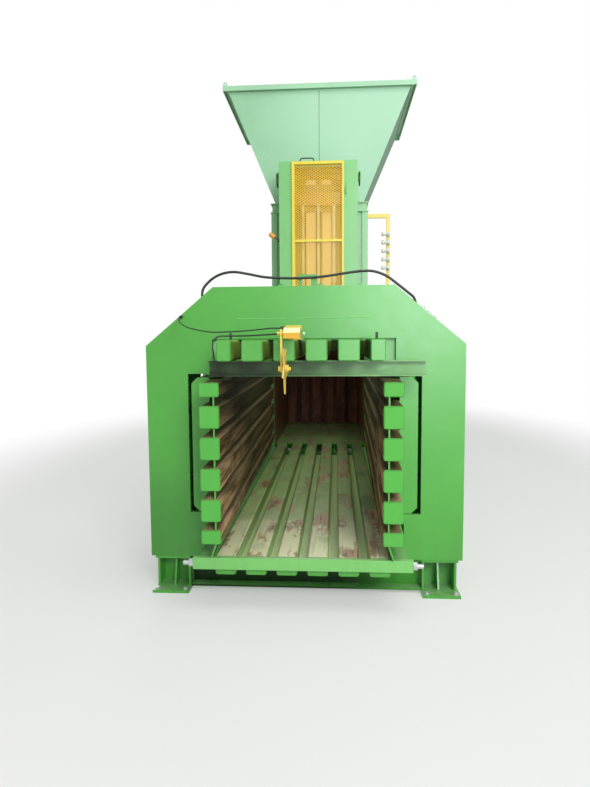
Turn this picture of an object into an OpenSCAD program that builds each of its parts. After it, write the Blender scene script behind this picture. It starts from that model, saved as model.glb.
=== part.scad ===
// Horizontal channel baler with a tension frame at the outlet, a needle tower and a flared hopper.
// +Z is up, the outlet faces -Y, and the origin is on the ground at mid length.

/* [Bale channel] */
// Clear width between the side walls at the outlet
outlet_w = 1000; // [940:10:1080]
// Clear width of the press chamber
chamber_w = 1150; // [1130:10:1200]
// Height of the channel floor above the ground
floor_h = 350; // [330:5:450]
// Clear height from the floor tubes to the top tubes
channel_h = 1236; // [1210:2:1300]
// Length of the side walls, from the outlet to their hinges
wall_l = 3980; // [3600:10:4400]

/* [Channel tubes] */
// Spacing of the floor and top tubes
tube_pitch = 195; // [185:1:200]
// Width of a floor or top tube
tube_w = 130; // [110:1:140]
// Width of the two outer top tubes
edge_tube_w = 88; // [60:1:110]
// Height of a floor tube
floor_tube_h = 120; // [100:1:130]
// Height of a top tube
top_tube_h = 130; // [100:1:150]
// Corner radius of the box tubes
tube_r = 14; // [6:1:20]

/* [Side walls] */
// Depth of a wall rail
rail_w = 125; // [100:1:140]
// Number of rails on a wall
rail_n = 6; // [4:1:7]
// Height of the top and bottom wall rails
edge_rail_h = 88; // [60:1:95]
// Gap between two wall rails
rail_gap = 55; // [40:1:60]
// Height of the lowest rail above the channel floor
rail_start = 95; // [80:1:110]
// Depth of the upright ribs outside the rails
rib_depth = 120; // [90:1:122]
// Diameter of a wall hinge pin
hinge_pin_d = 50; // [40:1:60]

/* [Tension frame] */
// Width of a leg of the frame, outside the opening for the walls
portal_leg_w = 280; // [265:5:380]
// Height of the frame's top edge above the channel floor
portal_top = 1714; // [1600:2:1850]
// Height above the channel floor at which the chamfers start
portal_shoulder = 1330; // [1250:2:1450]
// Width of the frame's flat top edge
portal_top_w = 1190; // [900:10:1400]
// Distance from the outlet edge to the frame
portal_start = 350; // [300:10:420]
// Depth of the frame
portal_depth = 450; // [400:10:500]
// Half width of the opening that the side walls move in
portal_slot_x = 775; // [765:1:800]
// Diameter of a pinch cylinder's barrel
pinch_d = 110; // [90:1:130]

/* [Press chamber] */
// Length of the feed opening
feed_l = 1600; // [1400:10:1700]
// Length of the ram behind its head
ram_body_l = 2300; // [2200:10:2400]
// Ram stroke
ram_stroke = 2140; // [2000:10:2160]
// Outer diameter of the main cylinder
cylinder_d = 280; // [240:2:320]
// Diameter of the main cylinder's rod
rod_d = 160; // [120:2:180]

/* [Hopper and chute] */
// Height of the chute's collar above the channel floor
collar_top = 3175; // [2900:5:3400]
// Height of the hopper above its collar
hopper_h = 1505; // [1000:5:1600]
// Clear width of the hopper's mouth
hopper_mouth_w = 2410; // [1800:10:2600]
// Distance that the hopper's rear panel leans back
hopper_lean = 500; // [200:10:700]

/* [Needle tower] */
// Width of the tower
tower_w = 970; // [940:2:1040]
// Height of the tower's top above the channel floor
tower_top = 3545; // [3500:5:3700]
// Depth of the tower
tower_depth = 380; // [370:2:400]
// Stroke of the needles
needle_stroke = 1420; // [1405:5:1440]
// Width of the guard door
door_w = 650; // [640:2:680]
// Width of a light guide column
guide_w = 122; // [100:1:140]

/* [Measuring wheel] */
// Radius of the star wheel at its tips
star_r = 146; // [120:1:150]
// Number of star points
star_n = 5; // [5:1:8]
// Length of the swing arm between its pivot and the wheel
arm_l = 202; // [196:1:210]

/* [Wire guide] */
// Spacing of the wire rollers
roller_pitch = 110; // [80:1:120]
// Diameter of a wire roller
roller_d = 60; // [44:1:70]
// Length of a wire roller
roller_l = 96; // [70:1:110]

/* [Feet] */
// Side length of the base plate across the machine
foot_w = 250; // [240:2:300]
// Thickness of the foot plates
foot_t = 20; // [12:1:25]
// Diameter of an anchor hole
anchor_d = 22; // [14:1:28]

/* [Hidden] */

green = [0.36, 0.70, 0.33];
light_green = [0.47, 0.79, 0.45];
worn_green = [0.42, 0.50, 0.27];
rust_brown = [0.33, 0.20, 0.14];
yellow = [0.95, 0.80, 0.18];
bare_steel = [0.66, 0.62, 0.56];
dark_steel = [0.28, 0.30, 0.27];
zinc = [0.80, 0.81, 0.80];
black = [0.06, 0.06, 0.06];
white = [0.92, 0.92, 0.90];

arc_fn = 48;
weld_gap = 0.2;      // between solids of one welded group
run_gap = 0.3;       // between faces that move past each other
pin_gap = 0.08;      // between a hinge pin and its bore

// Stations are distances from the outlet edge; y_at turns one into a place along Y.
star_s = -160;
front_reach = star_r * max([for (i = [0:star_n - 1]) -cos(360 * i / star_n - 90)]) - star_s;
needle_s = wall_l + 170;
shear_s = needle_s + 335;
shear_l = 70;
feed_s = shear_s + shear_l + 5;
ram_face_s = feed_s + feed_l + 30;
ram_groove = 160;
ram_head_l = 200;
ram_back_s = ram_face_s + ram_head_l;
tail_l = 810;                                      // from the ram's end to the rear edge
machine_l = ram_back_s + ram_body_l + tail_l;
total_l = front_reach + machine_l;
function y_at(s) = s + front_reach - total_l / 2;

needle_n = 5;
tube_n = needle_n + 1;
function tube_x(i) = (i - (tube_n - 1) / 2) * tube_pitch;
function needle_x(i) = (i - (needle_n - 1) / 2) * tube_pitch;
edge_tube_x = tube_x(tube_n - 1) - tube_w / 2;     // inner face of the outer tubes
floor_half = tube_x(tube_n - 1) + tube_w / 2;
top_half = edge_tube_x + edge_tube_w;
top_z = floor_h + channel_h;                       // underside of the top tubes
tube_top = top_z + top_tube_h;
cap_t = 8;
cap_inset = 5;
cross_channel_h = 98;
rail_clear = 32;                                   // from the walls to the cross channel over them
rail_top = channel_h - cross_channel_h - rail_clear;
rail_h = (rail_top - rail_start - 2 * edge_rail_h - (rail_n - 1) * rail_gap) / (rail_n - 2);
rib_low = rail_start + edge_rail_h + rail_gap - 32;
portal_w = 2 * (portal_slot_x + portal_leg_w);
beam_x0 = portal_w / 2 - 235;
beam_x1 = beam_x0 + 120;

module box_section(w, h, r) {
    square([w - 2 * r, h], center = true);
    square([w, h - 2 * r], center = true);
    for (x = [-1, 1], z = [-1, 1])
        translate([x * (w / 2 - r), z * (h / 2 - r)]) circle(r, $fn = arc_fn);
}

// A solid drawn in X and Z, from y to y + t
module along_y(y, t) {
    translate([0, y + t, 0]) rotate([90, 0, 0]) linear_extrude(t) children();
}

// A solid drawn in Y and Z, from x to x + t
module along_x(x, t) {
    translate([x, 0, 0]) rotate([90, 0, 90]) linear_extrude(t) children();
}

module rod_y(x, y, z, d, l) {
    translate([x, y + l, z]) rotate([90, 0, 0]) cylinder(d = d, h = l, $fn = arc_fn);
}

module rod_x(x, y, z, d, l) {
    translate([x, y, z]) rotate([0, 90, 0]) cylinder(d = d, h = l, $fn = arc_fn);
}

module box(low, high) {
    translate(low) cube(high - low);
}

// A box tube along Y with a welded cap on its front end
module capped_tube(x, z, w, h, y0, y1) {
    translate([x, 0, z]) {
        along_y(y0 + cap_t, y1 - y0 - cap_t) box_section(w, h, tube_r);
        along_y(y0, cap_t) box_section(w - 2 * cap_inset, h - 2 * cap_inset, tube_r - cap_inset);
    }
}

// Tension frame

portal_bottom = -110;
portal_y0 = y_at(portal_start);
portal_y1 = y_at(portal_start + portal_depth);
front_t = 30;
rim_t = 20;
chamfer_run = (portal_w - portal_top_w) / 2;
chamfer_rise = portal_top - portal_shoulder;
chamfer_drop = rim_t * sqrt(chamfer_run * chamfer_run + chamfer_rise * chamfer_rise) / chamfer_run;
chamfer_slope = chamfer_rise / chamfer_run;
slot_low = rib_low - 6;
slot_high = rail_top + 37;
step_x = 665;
top_slot_x = 605;
rear_slot_extra = 12;

// Height of the chamfer's outer face above the channel floor at x
function chamfer_z(x) = portal_shoulder + (portal_w / 2 - x) * chamfer_slope;

module portal_outline() {
    polygon([
        [portal_w / 2, floor_h + portal_bottom], [portal_w / 2, floor_h + portal_shoulder],
        [portal_top_w / 2, floor_h + portal_top], [-portal_top_w / 2, floor_h + portal_top],
        [-portal_w / 2, floor_h + portal_shoulder], [-portal_w / 2, floor_h + portal_bottom]
    ]);
}

module portal_outline_inside() {
    x1 = portal_w / 2 - rim_t;
    z1 = portal_shoulder + rim_t * chamfer_slope - chamfer_drop;
    x2 = portal_w / 2 - (portal_top - rim_t - portal_shoulder + chamfer_drop) / chamfer_slope;
    polygon([
        [x1, floor_h + portal_bottom + rim_t], [x1, floor_h + z1], [x2, floor_h + portal_top - rim_t],
        [-x2, floor_h + portal_top - rim_t], [-x1, floor_h + z1], [-x1, floor_h + portal_bottom + rim_t]
    ]);
}

module portal_opening(extra) {
    low = floor_h + portal_bottom - 1;
    for (side = [0, 1]) mirror([side, 0])
        polygon([
            [-1, low], [step_x + extra, low], [step_x + extra, floor_h + slot_low - extra],
            [portal_slot_x + extra, floor_h + slot_low - extra],
            [portal_slot_x + extra, floor_h + slot_high + extra],
            [top_slot_x, floor_h + slot_high + extra], [top_slot_x, tube_top + 6], [-1, tube_top + 6]
        ]);
}

module portal_front_plate() {
    color(green) along_y(portal_y0, front_t) difference() {
        portal_outline();
        portal_opening(0);
    }
}

module portal_rear_plate() {
    color(green) along_y(portal_y1 - front_t, front_t) difference() {
        portal_outline();
        portal_opening(rear_slot_extra);
    }
}

// The plates that close the frame round its outside, and the soles of both legs
module portal_rim() {
    color(green) along_y(portal_y0 + front_t, portal_depth - 2 * front_t) difference() {
        portal_outline();
        portal_outline_inside();
        translate([-step_x - rear_slot_extra, floor_h + portal_bottom - 1])
            square([2 * (step_x + rear_slot_extra), rim_t + 2]);
    }
    // Plates that close the opening beside the edge tubes
    color(green) for (side = [0, 1]) mirror([side, 0, 0])
        box([top_half + 3, portal_y0 + front_t, floor_h + slot_high + 2],
            [top_slot_x + 50, portal_y0 + front_t + 10, tube_top + 46]);
}

lug_x = [-173, 107, 380];
lug_w = 60;
lug_h = 45;
hose_y = portal_y0 + 250;
tie_plate_w = 126;
tie_plate_h = 78;

module portal_top_lugs() {
    z = floor_h + portal_top;
    color(light_green) {
        for (x = lug_x) translate([x, 0, 0]) along_y(hose_y + 60, 12) difference() {
            union() {
                translate([-lug_w / 2, z]) square([lug_w, lug_h / 2]);
                translate([0, z + lug_h / 2]) circle(d = lug_h, $fn = arc_fn);
            }
            translate([0, z + lug_h / 2]) circle(d = 20, $fn = arc_fn);
            translate([-lug_w, z - lug_h]) square([2 * lug_w, lug_h]);
        }
        along_y(hose_y + hose_d / 2 + run_gap, 6) difference() {
            translate([-42, z]) square([tie_plate_w, tie_plate_h + 24]);
            translate([-42 + 22, z + 22]) square([tie_plate_w - 64, tie_plate_h - 30]);
        }
    }
}

fitting_d = 30;
fitting_x = [for (x = [182, 221, 260]) portal_top_w / 2 + x];
fitting_l = 17;
chamfer_turn = atan(chamfer_slope);

// A hydraulic fitting that stands square on the right chamfer
module chamfer_fitting(x, y, l) {
    translate([x, y, floor_h + chamfer_z(x)]) rotate([0, chamfer_turn, 0]) translate([0, 0, weld_gap]) {
        cylinder(d = fitting_d, h = l * 0.45, $fn = 6);
        translate([0, 0, l * 0.45]) cylinder(d = fitting_d - 8, h = l * 0.55, $fn = arc_fn);
    }
}

module hose_fittings() {
    color(zinc) {
        for (i = [0, 1]) mirror([1 - i, 0, 0]) {
            chamfer_fitting(hose_foot_x[i], hose_y, 20);
            translate([hose_end_x(i), hose_y, hose_end_z(i) + floor_h - hose_stub_l[i]])
                cylinder(d = fitting_d - 8, h = hose_stub_l[i], $fn = arc_fn);
        }
        for (x = fitting_x) chamfer_fitting(x, portal_y0 + 60, fitting_l);
    }
}

// Base

beam_low = -240;
cross_low = -240;
cross_w = 100;
foot_low_x = beam_x0 - 33;
sill_x = foot_low_x;
sill_low = 20;                                     // height of the sill above the ground
sill_depth = 90;
needle_beam_gap = 125;
cross_first = 160;                                 // from the tension frame to the first cross beam
cross_hinge = 640;                                 // from the wall hinges to the cross beam before them
cross_s = [
    portal_start + portal_depth + cross_first, 1750, 2550, wall_l - cross_hinge,
    needle_s - needle_beam_gap - cross_w / 2,
    needle_s + needle_beam_gap + cross_w / 2, feed_s + feed_l / 2 - 80, ram_face_s - 150,
    ram_back_s + ram_body_l / 3, ram_back_s + ram_body_l * 2 / 3 + 20, ram_back_s + ram_body_l + 60
];

module base_frame() {
    bar_top = floor_h - floor_tube_h;
    color(green) {
        for (side = [0, 1]) mirror([side, 0, 0]) {
            box([beam_x0, y_at(portal_start + portal_depth - 105), floor_h + beam_low],
                [beam_x1, y_at(machine_l), floor_h + portal_bottom]);
            box([floor_half + weld_gap, y_at(threshold_s + threshold_t) + weld_gap, floor_h - 15],
                [step_x - 5, y_at(wall_l + 40), floor_h]);
        }
        for (s = cross_s)
            box([-beam_x0 + weld_gap, y_at(s - cross_w / 2), floor_h + cross_low],
                [beam_x0 - weld_gap, y_at(s + cross_w / 2), bar_top]);
        // Sill under the floor tubes: a channel section that opens to the front
        along_x(-sill_x + weld_gap, 2 * (sill_x - weld_gap)) difference() {
            translate([y_at(portal_start + 25), sill_low]) square([sill_depth, bar_top - sill_low]);
            translate([y_at(portal_start + 24), sill_low + 12])
                square([sill_depth - 11, bar_top - sill_low - 24]);
        }
    }
}

foot_s = [portal_start + 25, needle_s - 160, ram_face_s + 60, machine_l - 420];
foot_l = 290;
foot_plate_l = 300;
foot_toe = 85;                                     // reach of the base plate in front of the cheeks
hole_inset = 30;
foot_front_top = floor_h + portal_bottom;
foot_low_top = floor_h + beam_low;

// A welded foot: base plate with four anchor holes, two cheeks, a back web and a slanted stiffener
module foot(s, top) {
    y = y_at(s);
    x0 = foot_low_x;
    x1 = foot_low_x + foot_w;
    cheek_x1 = x1 - 15;
    difference() {
        union() {
            box([x0, y - foot_toe, 0], [x1, y + foot_plate_l, foot_t]);
            box([x0, y - 15, top - foot_t], [cheek_x1 + 8, y + foot_l, top]);
            for (x = [x0 + 5, cheek_x1 - 15])
                box([x, y + 5, foot_t], [x + 15, y + foot_l, top - foot_t]);
            box([x0 + 20, y + 130, foot_t], [cheek_x1 - 15, y + 145, top - foot_t]);
            along_x((x0 + cheek_x1) / 2 - 6, 12) polygon([
                [y + 8, foot_t], [y + 130, foot_t], [y + 130, top - foot_t], [y + 70, top - foot_t]
            ]);
        }
        for (x = [x0 + hole_inset, x1 - hole_inset],
            yy = [y - foot_toe + hole_inset, y + foot_plate_l - hole_inset])
            translate([x, yy, -1]) cylinder(d = anchor_d, h = foot_t + 2, $fn = arc_fn);
    }
}

module frame_feet() {
    color(light_green) for (side = [0, 1]) mirror([side, 0, 0]) {
        foot(foot_s[0], foot_front_top);
        for (i = [1:3]) foot(foot_s[i], foot_low_top);
    }
}

// Channel

cross_channel_x0 = -583;
cross_channel_x1 = 770;
cross_channel_s = 100;
cross_channel_depth = 50;

module outlet_cross_channel() {
    color(dark_steel) along_x(cross_channel_x0, cross_channel_x1 - cross_channel_x0) difference() {
        translate([y_at(cross_channel_s), top_z - cross_channel_h])
            square([cross_channel_depth, cross_channel_h]);
        translate([y_at(cross_channel_s) - 1, top_z - cross_channel_h + 8])
            square([cross_channel_depth - 6, cross_channel_h - 16]);
    }
}

threshold_x = 690;
threshold_h = 75;
threshold_s = 30;
threshold_t = 30;
threshold_bolt_d = 30;

module threshold_bar() {
    color(light_green) box([-threshold_x, y_at(threshold_s), floor_h - threshold_h],
        [threshold_x, y_at(threshold_s + threshold_t), floor_h]);
}

module threshold_bolts() {
    y = y_at(threshold_s + threshold_t / 2);
    z = floor_h - threshold_h / 2;
    color(zinc) for (side = [0, 1]) mirror([side, 0, 0]) {
        rod_x(threshold_x, y, z, threshold_bolt_d, 62);
        translate([threshold_x, y, z]) rotate([0, 90, 0]) cylinder(d = 52, h = 24, $fn = 6);
    }
}

groove_t = 8;

// Six tubes, and five flat bars low between them that close the grooves for the tying wires
module floor_tubes() {
    y0 = y_at(threshold_s + threshold_t);
    half = (tube_pitch - tube_w) / 2 - weld_gap;
    z = floor_h - floor_tube_h + tube_r + 2;
    color(worn_green) {
        for (i = [0:tube_n - 1])
            capped_tube(tube_x(i), floor_h - floor_tube_h / 2, tube_w, floor_tube_h, y0,
                y_at(floor_plate_s) - weld_gap);
        for (i = [0:needle_n - 1])
            box([needle_x(i) - half, y0 + 40, z], [needle_x(i) + half, y_at(wall_l - 20), z + groove_t]);
    }
}

module top_tubes() {
    z = top_z + top_tube_h / 2;
    color(green) {
        for (i = [1:tube_n - 2])
            capped_tube(tube_x(i), z, tube_w, top_tube_h, y_at(0), y_at(shear_s) - weld_gap);
        for (x = [-1, 1])
            capped_tube(x * (edge_tube_x + edge_tube_w / 2), z, edge_tube_w, top_tube_h, y_at(0),
                y_at(shear_s) - weld_gap);
        for (x = [-431, 461]) translate([x, y_at(70), tube_top])
            cylinder(d = 16, h = 42, $fn = arc_fn);
    }
}

// Posts and cross beams that carry the top tubes, the needle tower and the side of the chute
frame_s = [1600, 2400, 3200, needle_s - needle_beam_gap - cross_w / 2,
    needle_s + needle_beam_gap + cross_w / 2];
frame_h = 120;

module channel_frames() {
    color(green) for (s = frame_s) {
        box([-beam_x1, y_at(s - cross_w / 2), tube_top],
            [beam_x1, y_at(s + cross_w / 2), tube_top + frame_h]);
        for (side = [0, 1]) mirror([side, 0, 0])
            box([beam_x0, y_at(s - cross_w / 2), floor_h + portal_bottom],
                [beam_x1, y_at(s + cross_w / 2), tube_top - weld_gap]);
    }
}

// Side walls, drawn about the right hinge pin and turned in by the toe angle

hinge_x = chamber_w / 2 - 5 + rail_w / 2;
wall_toe = asin((chamber_w - 10 - outlet_w) / 2 / wall_l);
rail_end = 70;
function rail_height(i) = i == 0 || i == rail_n - 1 ? edge_rail_h : rail_h;
function rail_low(i) = rail_start + (i == 0 ? 0 : edge_rail_h + rail_gap + (i - 1) * (rail_h + rail_gap));
web_t = 10;
web_inset = 30;
skirt_gap = 6;
skirt_flare = 32;
rib_t = 25;
rib_chamfer = 40;
rib_s = [portal_start + 2, 500, 650, 1250, 1850, 2450, 3050, wall_l - 330];
knuckle_d = 96;
knuckle_low = rail_start + 100;
knuckle_high = rail_top - 256;
knuckle_h = 180;
lug_h_fixed = 100;

module at_wall(side) {
    mirror([side, 0, 0]) translate([hinge_x, y_at(wall_l), floor_h]) rotate([0, 0, -wall_toe]) children();
}

module wall_rails(side) {
    color(worn_green) at_wall(side) for (i = [0:rail_n - 1])
        capped_tube(0, rail_low(i) + rail_height(i) / 2, rail_w, rail_height(i), -wall_l, -rail_end);
}

module wall_plates(side) {
    color(green) at_wall(side) difference() {
        union() {
            // Strips that close the gaps between the rails
            for (i = [0:rail_n - 2])
                box([-rail_w / 2 + web_inset, -wall_l + 12, rail_low(i) + rail_height(i)],
                    [-rail_w / 2 + web_inset + web_t, -rail_end, rail_low(i + 1)]);
            // Skirt under the lowest rail, flared outwards
            along_y(-wall_l + 12, wall_l - rail_end - 12) polygon([
                [-rail_w / 2 + web_inset, rail_start], [-rail_w / 2 + web_inset + web_t, rail_start],
                [-rail_w / 2 + web_inset + web_t + skirt_flare, skirt_gap],
                [-rail_w / 2 + web_inset + skirt_flare, skirt_gap]
            ]);
            // Upright ribs with chamfered outer corners
            for (s = rib_s) along_y(s - wall_l, rib_t) polygon([
                [rail_w / 2, rib_low], [rail_w / 2 + rib_depth - rib_chamfer, rib_low],
                [rail_w / 2 + rib_depth, rib_low + rib_chamfer],
                [rail_w / 2 + rib_depth, rail_top + 12 - rib_chamfer],
                [rail_w / 2 + rib_depth - rib_chamfer, rail_top + 12], [rail_w / 2, rail_top + 12]
            ]);
            // Plate that the pinch rods push on
            box([rail_w / 2 + rib_depth - 20, rib_s[1] + rib_t - wall_l, rib_low + rib_chamfer],
                [rail_w / 2 + rib_depth, rib_s[2] - wall_l, rail_top - rib_chamfer]);
            // End plate and hinge knuckles
            box([-rail_w / 2, -rail_end, rail_start], [rail_w / 2, -rail_end + 16, rail_top]);
            for (z = [knuckle_low, knuckle_high]) translate([0, 0, z]) {
                cylinder(d = knuckle_d, h = knuckle_h, $fn = arc_fn);
                box([-30, -rail_end + 16, 0], [30, 0, knuckle_h]);
            }
        }
        for (z = [knuckle_low, knuckle_high]) translate([0, 0, z - 1])
            cylinder(d = hinge_pin_d + 2 * pin_gap, h = knuckle_h + 2, $fn = arc_fn);
    }
}

module wall_hinge_pins() {
    pin_l = knuckle_high + knuckle_h - knuckle_low + 2 * lug_h_fixed + 20 + run_gap;
    color(bare_steel) for (side = [0, 1]) mirror([side, 0, 0])
        translate([hinge_x, y_at(wall_l), floor_h + knuckle_low - lug_h_fixed - 20]) {
            cylinder(d = hinge_pin_d, h = pin_l, $fn = arc_fn);
            translate([0, 0, pin_l]) cylinder(d = hinge_pin_d + 24, h = 14, $fn = 6);
        }
}

pinch_s = 587;
pinch_low = 194;                                   // lower cylinder above the ribs' ends
pinch_high = 226;                                  // upper cylinder below the top rail
pinch_z = [rib_low + pinch_low, rail_top - pinch_high];
push_x = hinge_x + (rail_w / 2 + rib_depth) * cos(wall_toe) - (wall_l - pinch_s) * sin(wall_toe);
pinch_rod_d = 56;
pinch_back = portal_w / 2 - rim_t;
pinch_front = portal_slot_x + 62;
pad_r = 80;
pad_d = 84;
pad_t = 22;

// Barrels on the inner face of the frame's side plates
module pinch_cylinders() {
    color(dark_steel) for (side = [0, 1], z = pinch_z) mirror([side, 0, 0]) difference() {
        union() {
            rod_x(pinch_front, y_at(pinch_s), floor_h + z, pinch_d, pinch_back - pinch_front);
            rod_x(pinch_back - 18, y_at(pinch_s), floor_h + z, pinch_d + 50, 18);
        }
        rod_x(pinch_front - 1, y_at(pinch_s), floor_h + z, pinch_rod_d + 2 * run_gap,
            pinch_back - pinch_front - 17);
    }
}

// Rods with a domed pad that pushes on the wall
module pinch_rods(side) {
    color(zinc) mirror([side, 0, 0]) for (z = pinch_z)
    translate([push_x + run_gap, y_at(pinch_s), floor_h + z]) {
        rod_x(pad_t - 2, 0, 0, pinch_rod_d, pinch_back - 40 - push_x - pad_t);
        intersection() {
            rod_x(0, 0, 0, pad_d, pad_t);
            translate([pad_r, 0, 0]) sphere(pad_r, $fn = 64);
        }
    }
}

// Needle tower

tower_s = needle_s - needle_beam_gap - cross_w + 70;
tower_low = tube_top + frame_h;
post_w = 170;
post_t = 14;
tower_y0 = y_at(tower_s);
tower_y1 = y_at(tower_s + tower_depth);
door_t = 30;
door_gap = 5;
door_y0 = tower_y0 - door_gap - door_t;
door_low = tower_low + 30;
door_high = floor_h + tower_top;
door_bar = 34;
door_hinge_x = door_w / 2 + 15;
door_hinge_y = tower_y0 - 20;
door_hinge_z = [door_low + 320, door_high - 390];
barrel_d = 24;
barrel_h = 70;
barrel_pin_d = 12;
tower_lug_z = floor_h + tower_top - 230;

module tower_posts() {
    color(light_green) for (side = [0, 1]) mirror([side, 0, 0]) {
        translate([0, 0, tower_low]) linear_extrude(floor_h + tower_top - tower_low) difference() {
            translate([tower_w / 2 - post_w, tower_y0]) square([post_w, tower_depth]);
            translate([tower_w / 2 - post_w - 1, tower_y0 + post_t])
                square([post_w - post_t + 1, tower_depth - 2 * post_t]);
        }
        difference() {
            box([tower_w / 2, tower_y0 + 60, tower_lug_z],
                [tower_w / 2 + 42, tower_y0 + 74, tower_lug_z + 130]);
            rod_y(tower_w / 2 + 24, tower_y0 + 59, tower_lug_z + 95, 22, 16);
        }
    }
    // Lower halves of the door hinges, each with its pin
    color(light_green) for (z = door_hinge_z) translate([door_hinge_x, door_hinge_y, z]) {
        cylinder(d = barrel_d, h = barrel_h, $fn = arc_fn);
        cylinder(d = barrel_pin_d, h = 2 * barrel_h - 10, $fn = arc_fn);
        box([-8, 0, 0], [8, tower_y0 - door_hinge_y, barrel_h]);
    }
}

ring_bar = 16;
ring_l = 170;
ring_r = 26;

// Top plate of the tower with a lifting ring that lies on it
module tower_head() {
    half = tower_w / 2 - post_w;
    top = floor_h + tower_top;
    color(light_green) {
        box([-tower_w / 2, tower_y0, top], [tower_w / 2, tower_y1, top + 12]);
        box([-half + weld_gap, tower_y0 + 2, top - 60], [half - weld_gap, tower_y0 + 16, top - weld_gap]);
        box([-half + weld_gap, tower_y1 - 16, top - 60], [half - weld_gap, tower_y1 - 2, top - weld_gap]);
    }
    color(dark_steel) translate([-140, tower_y0 + 90, top + 12 + ring_r + ring_bar / 2]) {
        for (x = [-1, 1]) translate([x * (ring_l / 2 - ring_r), 0, 0]) rotate([90, 0, 0])
            rotate([0, 0, x > 0 ? -90 : 90]) rotate_extrude(angle = 180, $fn = arc_fn)
                translate([ring_r, 0]) circle(d = ring_bar, $fn = 24);
        for (z = [-1, 1]) rod_x(-ring_l / 2 + ring_r, 0, z * ring_r, ring_bar, ring_l - 2 * ring_r);
    }
    color(zinc) translate([150, tower_y0 + 60, top + 12]) {
        cylinder(d = 30, h = 14, $fn = 6);
        cylinder(d = 16, h = 30, $fn = arc_fn);
    }
}

guide_x = 99;
guide_y0 = tower_y0 + 245;
guide_t = 36;
guide_high = floor_h + tower_top - 155;
rack_pitch = 25;
rack_depth = 10;

// Two flat columns of bare steel with a rack along their inner edges
module needle_guides() {
    n = floor((guide_high - tower_low - 60) / rack_pitch);
    color(bare_steel) for (side = [0, 1]) mirror([side, 0, 0]) along_y(guide_y0, guide_t) polygon(concat(
        [[guide_x + guide_w / 2, tower_low], [guide_x + guide_w / 2, guide_high - 20],
            [guide_x + guide_w / 2 - 20, guide_high], [guide_x - guide_w / 2 + 20, guide_high],
            [guide_x - guide_w / 2, guide_high - 20]],
        [for (i = [n - 1:-1:0], k = [0:3]) [
            guide_x - guide_w / 2 + (k == 1 || k == 2 ? rack_depth : 0),
            tower_low + 30 + (i + [0.85, 0.65, 0.35, 0.15][k]) * rack_pitch
        ]],
        [[guide_x - guide_w / 2, tower_low]]
    ));
}

module guard_door_frame() {
    x = door_w / 2;
    mid = (door_low + door_high) / 2 + 60;
    color(yellow) difference() {
        union() {
            along_y(door_y0, door_t) difference() {
                translate([-x, door_low]) square([2 * x, door_high - door_low]);
                translate([-x + door_bar, door_low + door_bar])
                    square([2 * (x - door_bar), mid - door_low - door_bar - 15]);
                translate([-x + door_bar, mid + 15])
                    square([2 * (x - door_bar), door_high - door_bar - mid - 15]);
            }
            for (z = door_hinge_z) translate([door_hinge_x, door_hinge_y, z + barrel_h + run_gap]) {
                cylinder(d = barrel_d, h = barrel_h, $fn = arc_fn);
                box([x - door_hinge_x - 4, -8, 0], [0, 4, barrel_h]);
            }
        }
        for (z = door_hinge_z) translate([door_hinge_x, door_hinge_y, z])
            cylinder(d = barrel_pin_d + 2 * pin_gap, h = 2 * barrel_h - 8, $fn = arc_fn);
    }
}

mesh_cols = 6;
mesh_rows = 20;
mesh_strand = 9;

// Expanded metal behind the door frame, drawn coarse
module guard_door_mesh() {
    w = door_w - 2 * door_bar + 16;
    h = door_high - door_low - 2 * door_bar + 16;
    dx = w / mesh_cols;
    dz = h / mesh_rows;
    color(yellow) along_y(door_y0 + door_t + weld_gap, 3) difference() {
        translate([-w / 2, door_low + door_bar - 8]) square([w, h]);
        for (i = [0:mesh_cols - 1], k = [0:mesh_rows - 1])
            translate([-w / 2 + (i + 0.5) * dx, door_low + door_bar - 8 + (k + 0.5) * dz]) polygon([
                [dx / 2 - mesh_strand, 0], [0, dz / 2 - mesh_strand],
                [-dx / 2 + mesh_strand, 0], [0, -dz / 2 + mesh_strand]
            ]);
    }
}

latch_drop = 930;                                  // from the tower's top to the latch
latch_z = floor_h + tower_top - latch_drop;
latch_y = tower_y0 + 60;

// Turning lever with an orange grip, on the outside of the left post
module door_latch() {
    translate([-tower_w / 2 - run_gap, latch_y, latch_z]) {
        color(dark_steel) rod_x(-20, 0, 0, 50, 20);
        color(dark_steel) translate([-14, 0, 0]) rotate([0, -54, 0])
            cylinder(d = 16, h = 60, $fn = arc_fn);
        color([0.95, 0.66, 0.22]) translate([-14, 0, 0]) rotate([0, -54, 0]) translate([0, 0, 60]) {
            cylinder(d = 58, h = 70, $fn = arc_fn);
            translate([0, 0, 70]) cylinder(d1 = 58, d2 = 36, h = 14, $fn = arc_fn);
        }
    }
}

carriage_drop = 495;                               // from the tower's top to the resting carriage
carriage_low = floor_h + tower_top - carriage_drop;
carriage_h = 150;
carriage_y0 = y_at(needle_s) - 45;
carriage_y1 = y_at(needle_s) + 45;
carriage_x = tower_w / 2 - post_t - 16;
shoe_x = guide_x + guide_w / 2 + 0.5;
shoe_t = 28;
shoe_high = 330;

// Cross bar with a back plate and two shoes that hold the guide columns
module needle_carriage() {
    color(dark_steel) {
        box([-carriage_x, carriage_y0, carriage_low],
            [carriage_x, carriage_y1, carriage_low + carriage_h]);
        box([-shoe_x - shoe_t, carriage_y1, carriage_low - 60],
            [shoe_x + shoe_t, guide_y0 - 0.5, carriage_low - 60 + shoe_high]);
        for (side = [0, 1]) mirror([side, 0, 0]) {
            box([shoe_x, guide_y0 - 0.5, carriage_low - 60],
                [shoe_x + shoe_t, guide_y0 + guide_t + 0.5, carriage_low - 60 + shoe_high]);
            box([shoe_x - 40, guide_y0 + guide_t + 0.5, carriage_low - 60],
                [shoe_x + shoe_t, guide_y0 + guide_t + 18, carriage_low - 60 + shoe_high]);
        }
    }
}

drive_x = guide_x - guide_w / 2 - 2;

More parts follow.
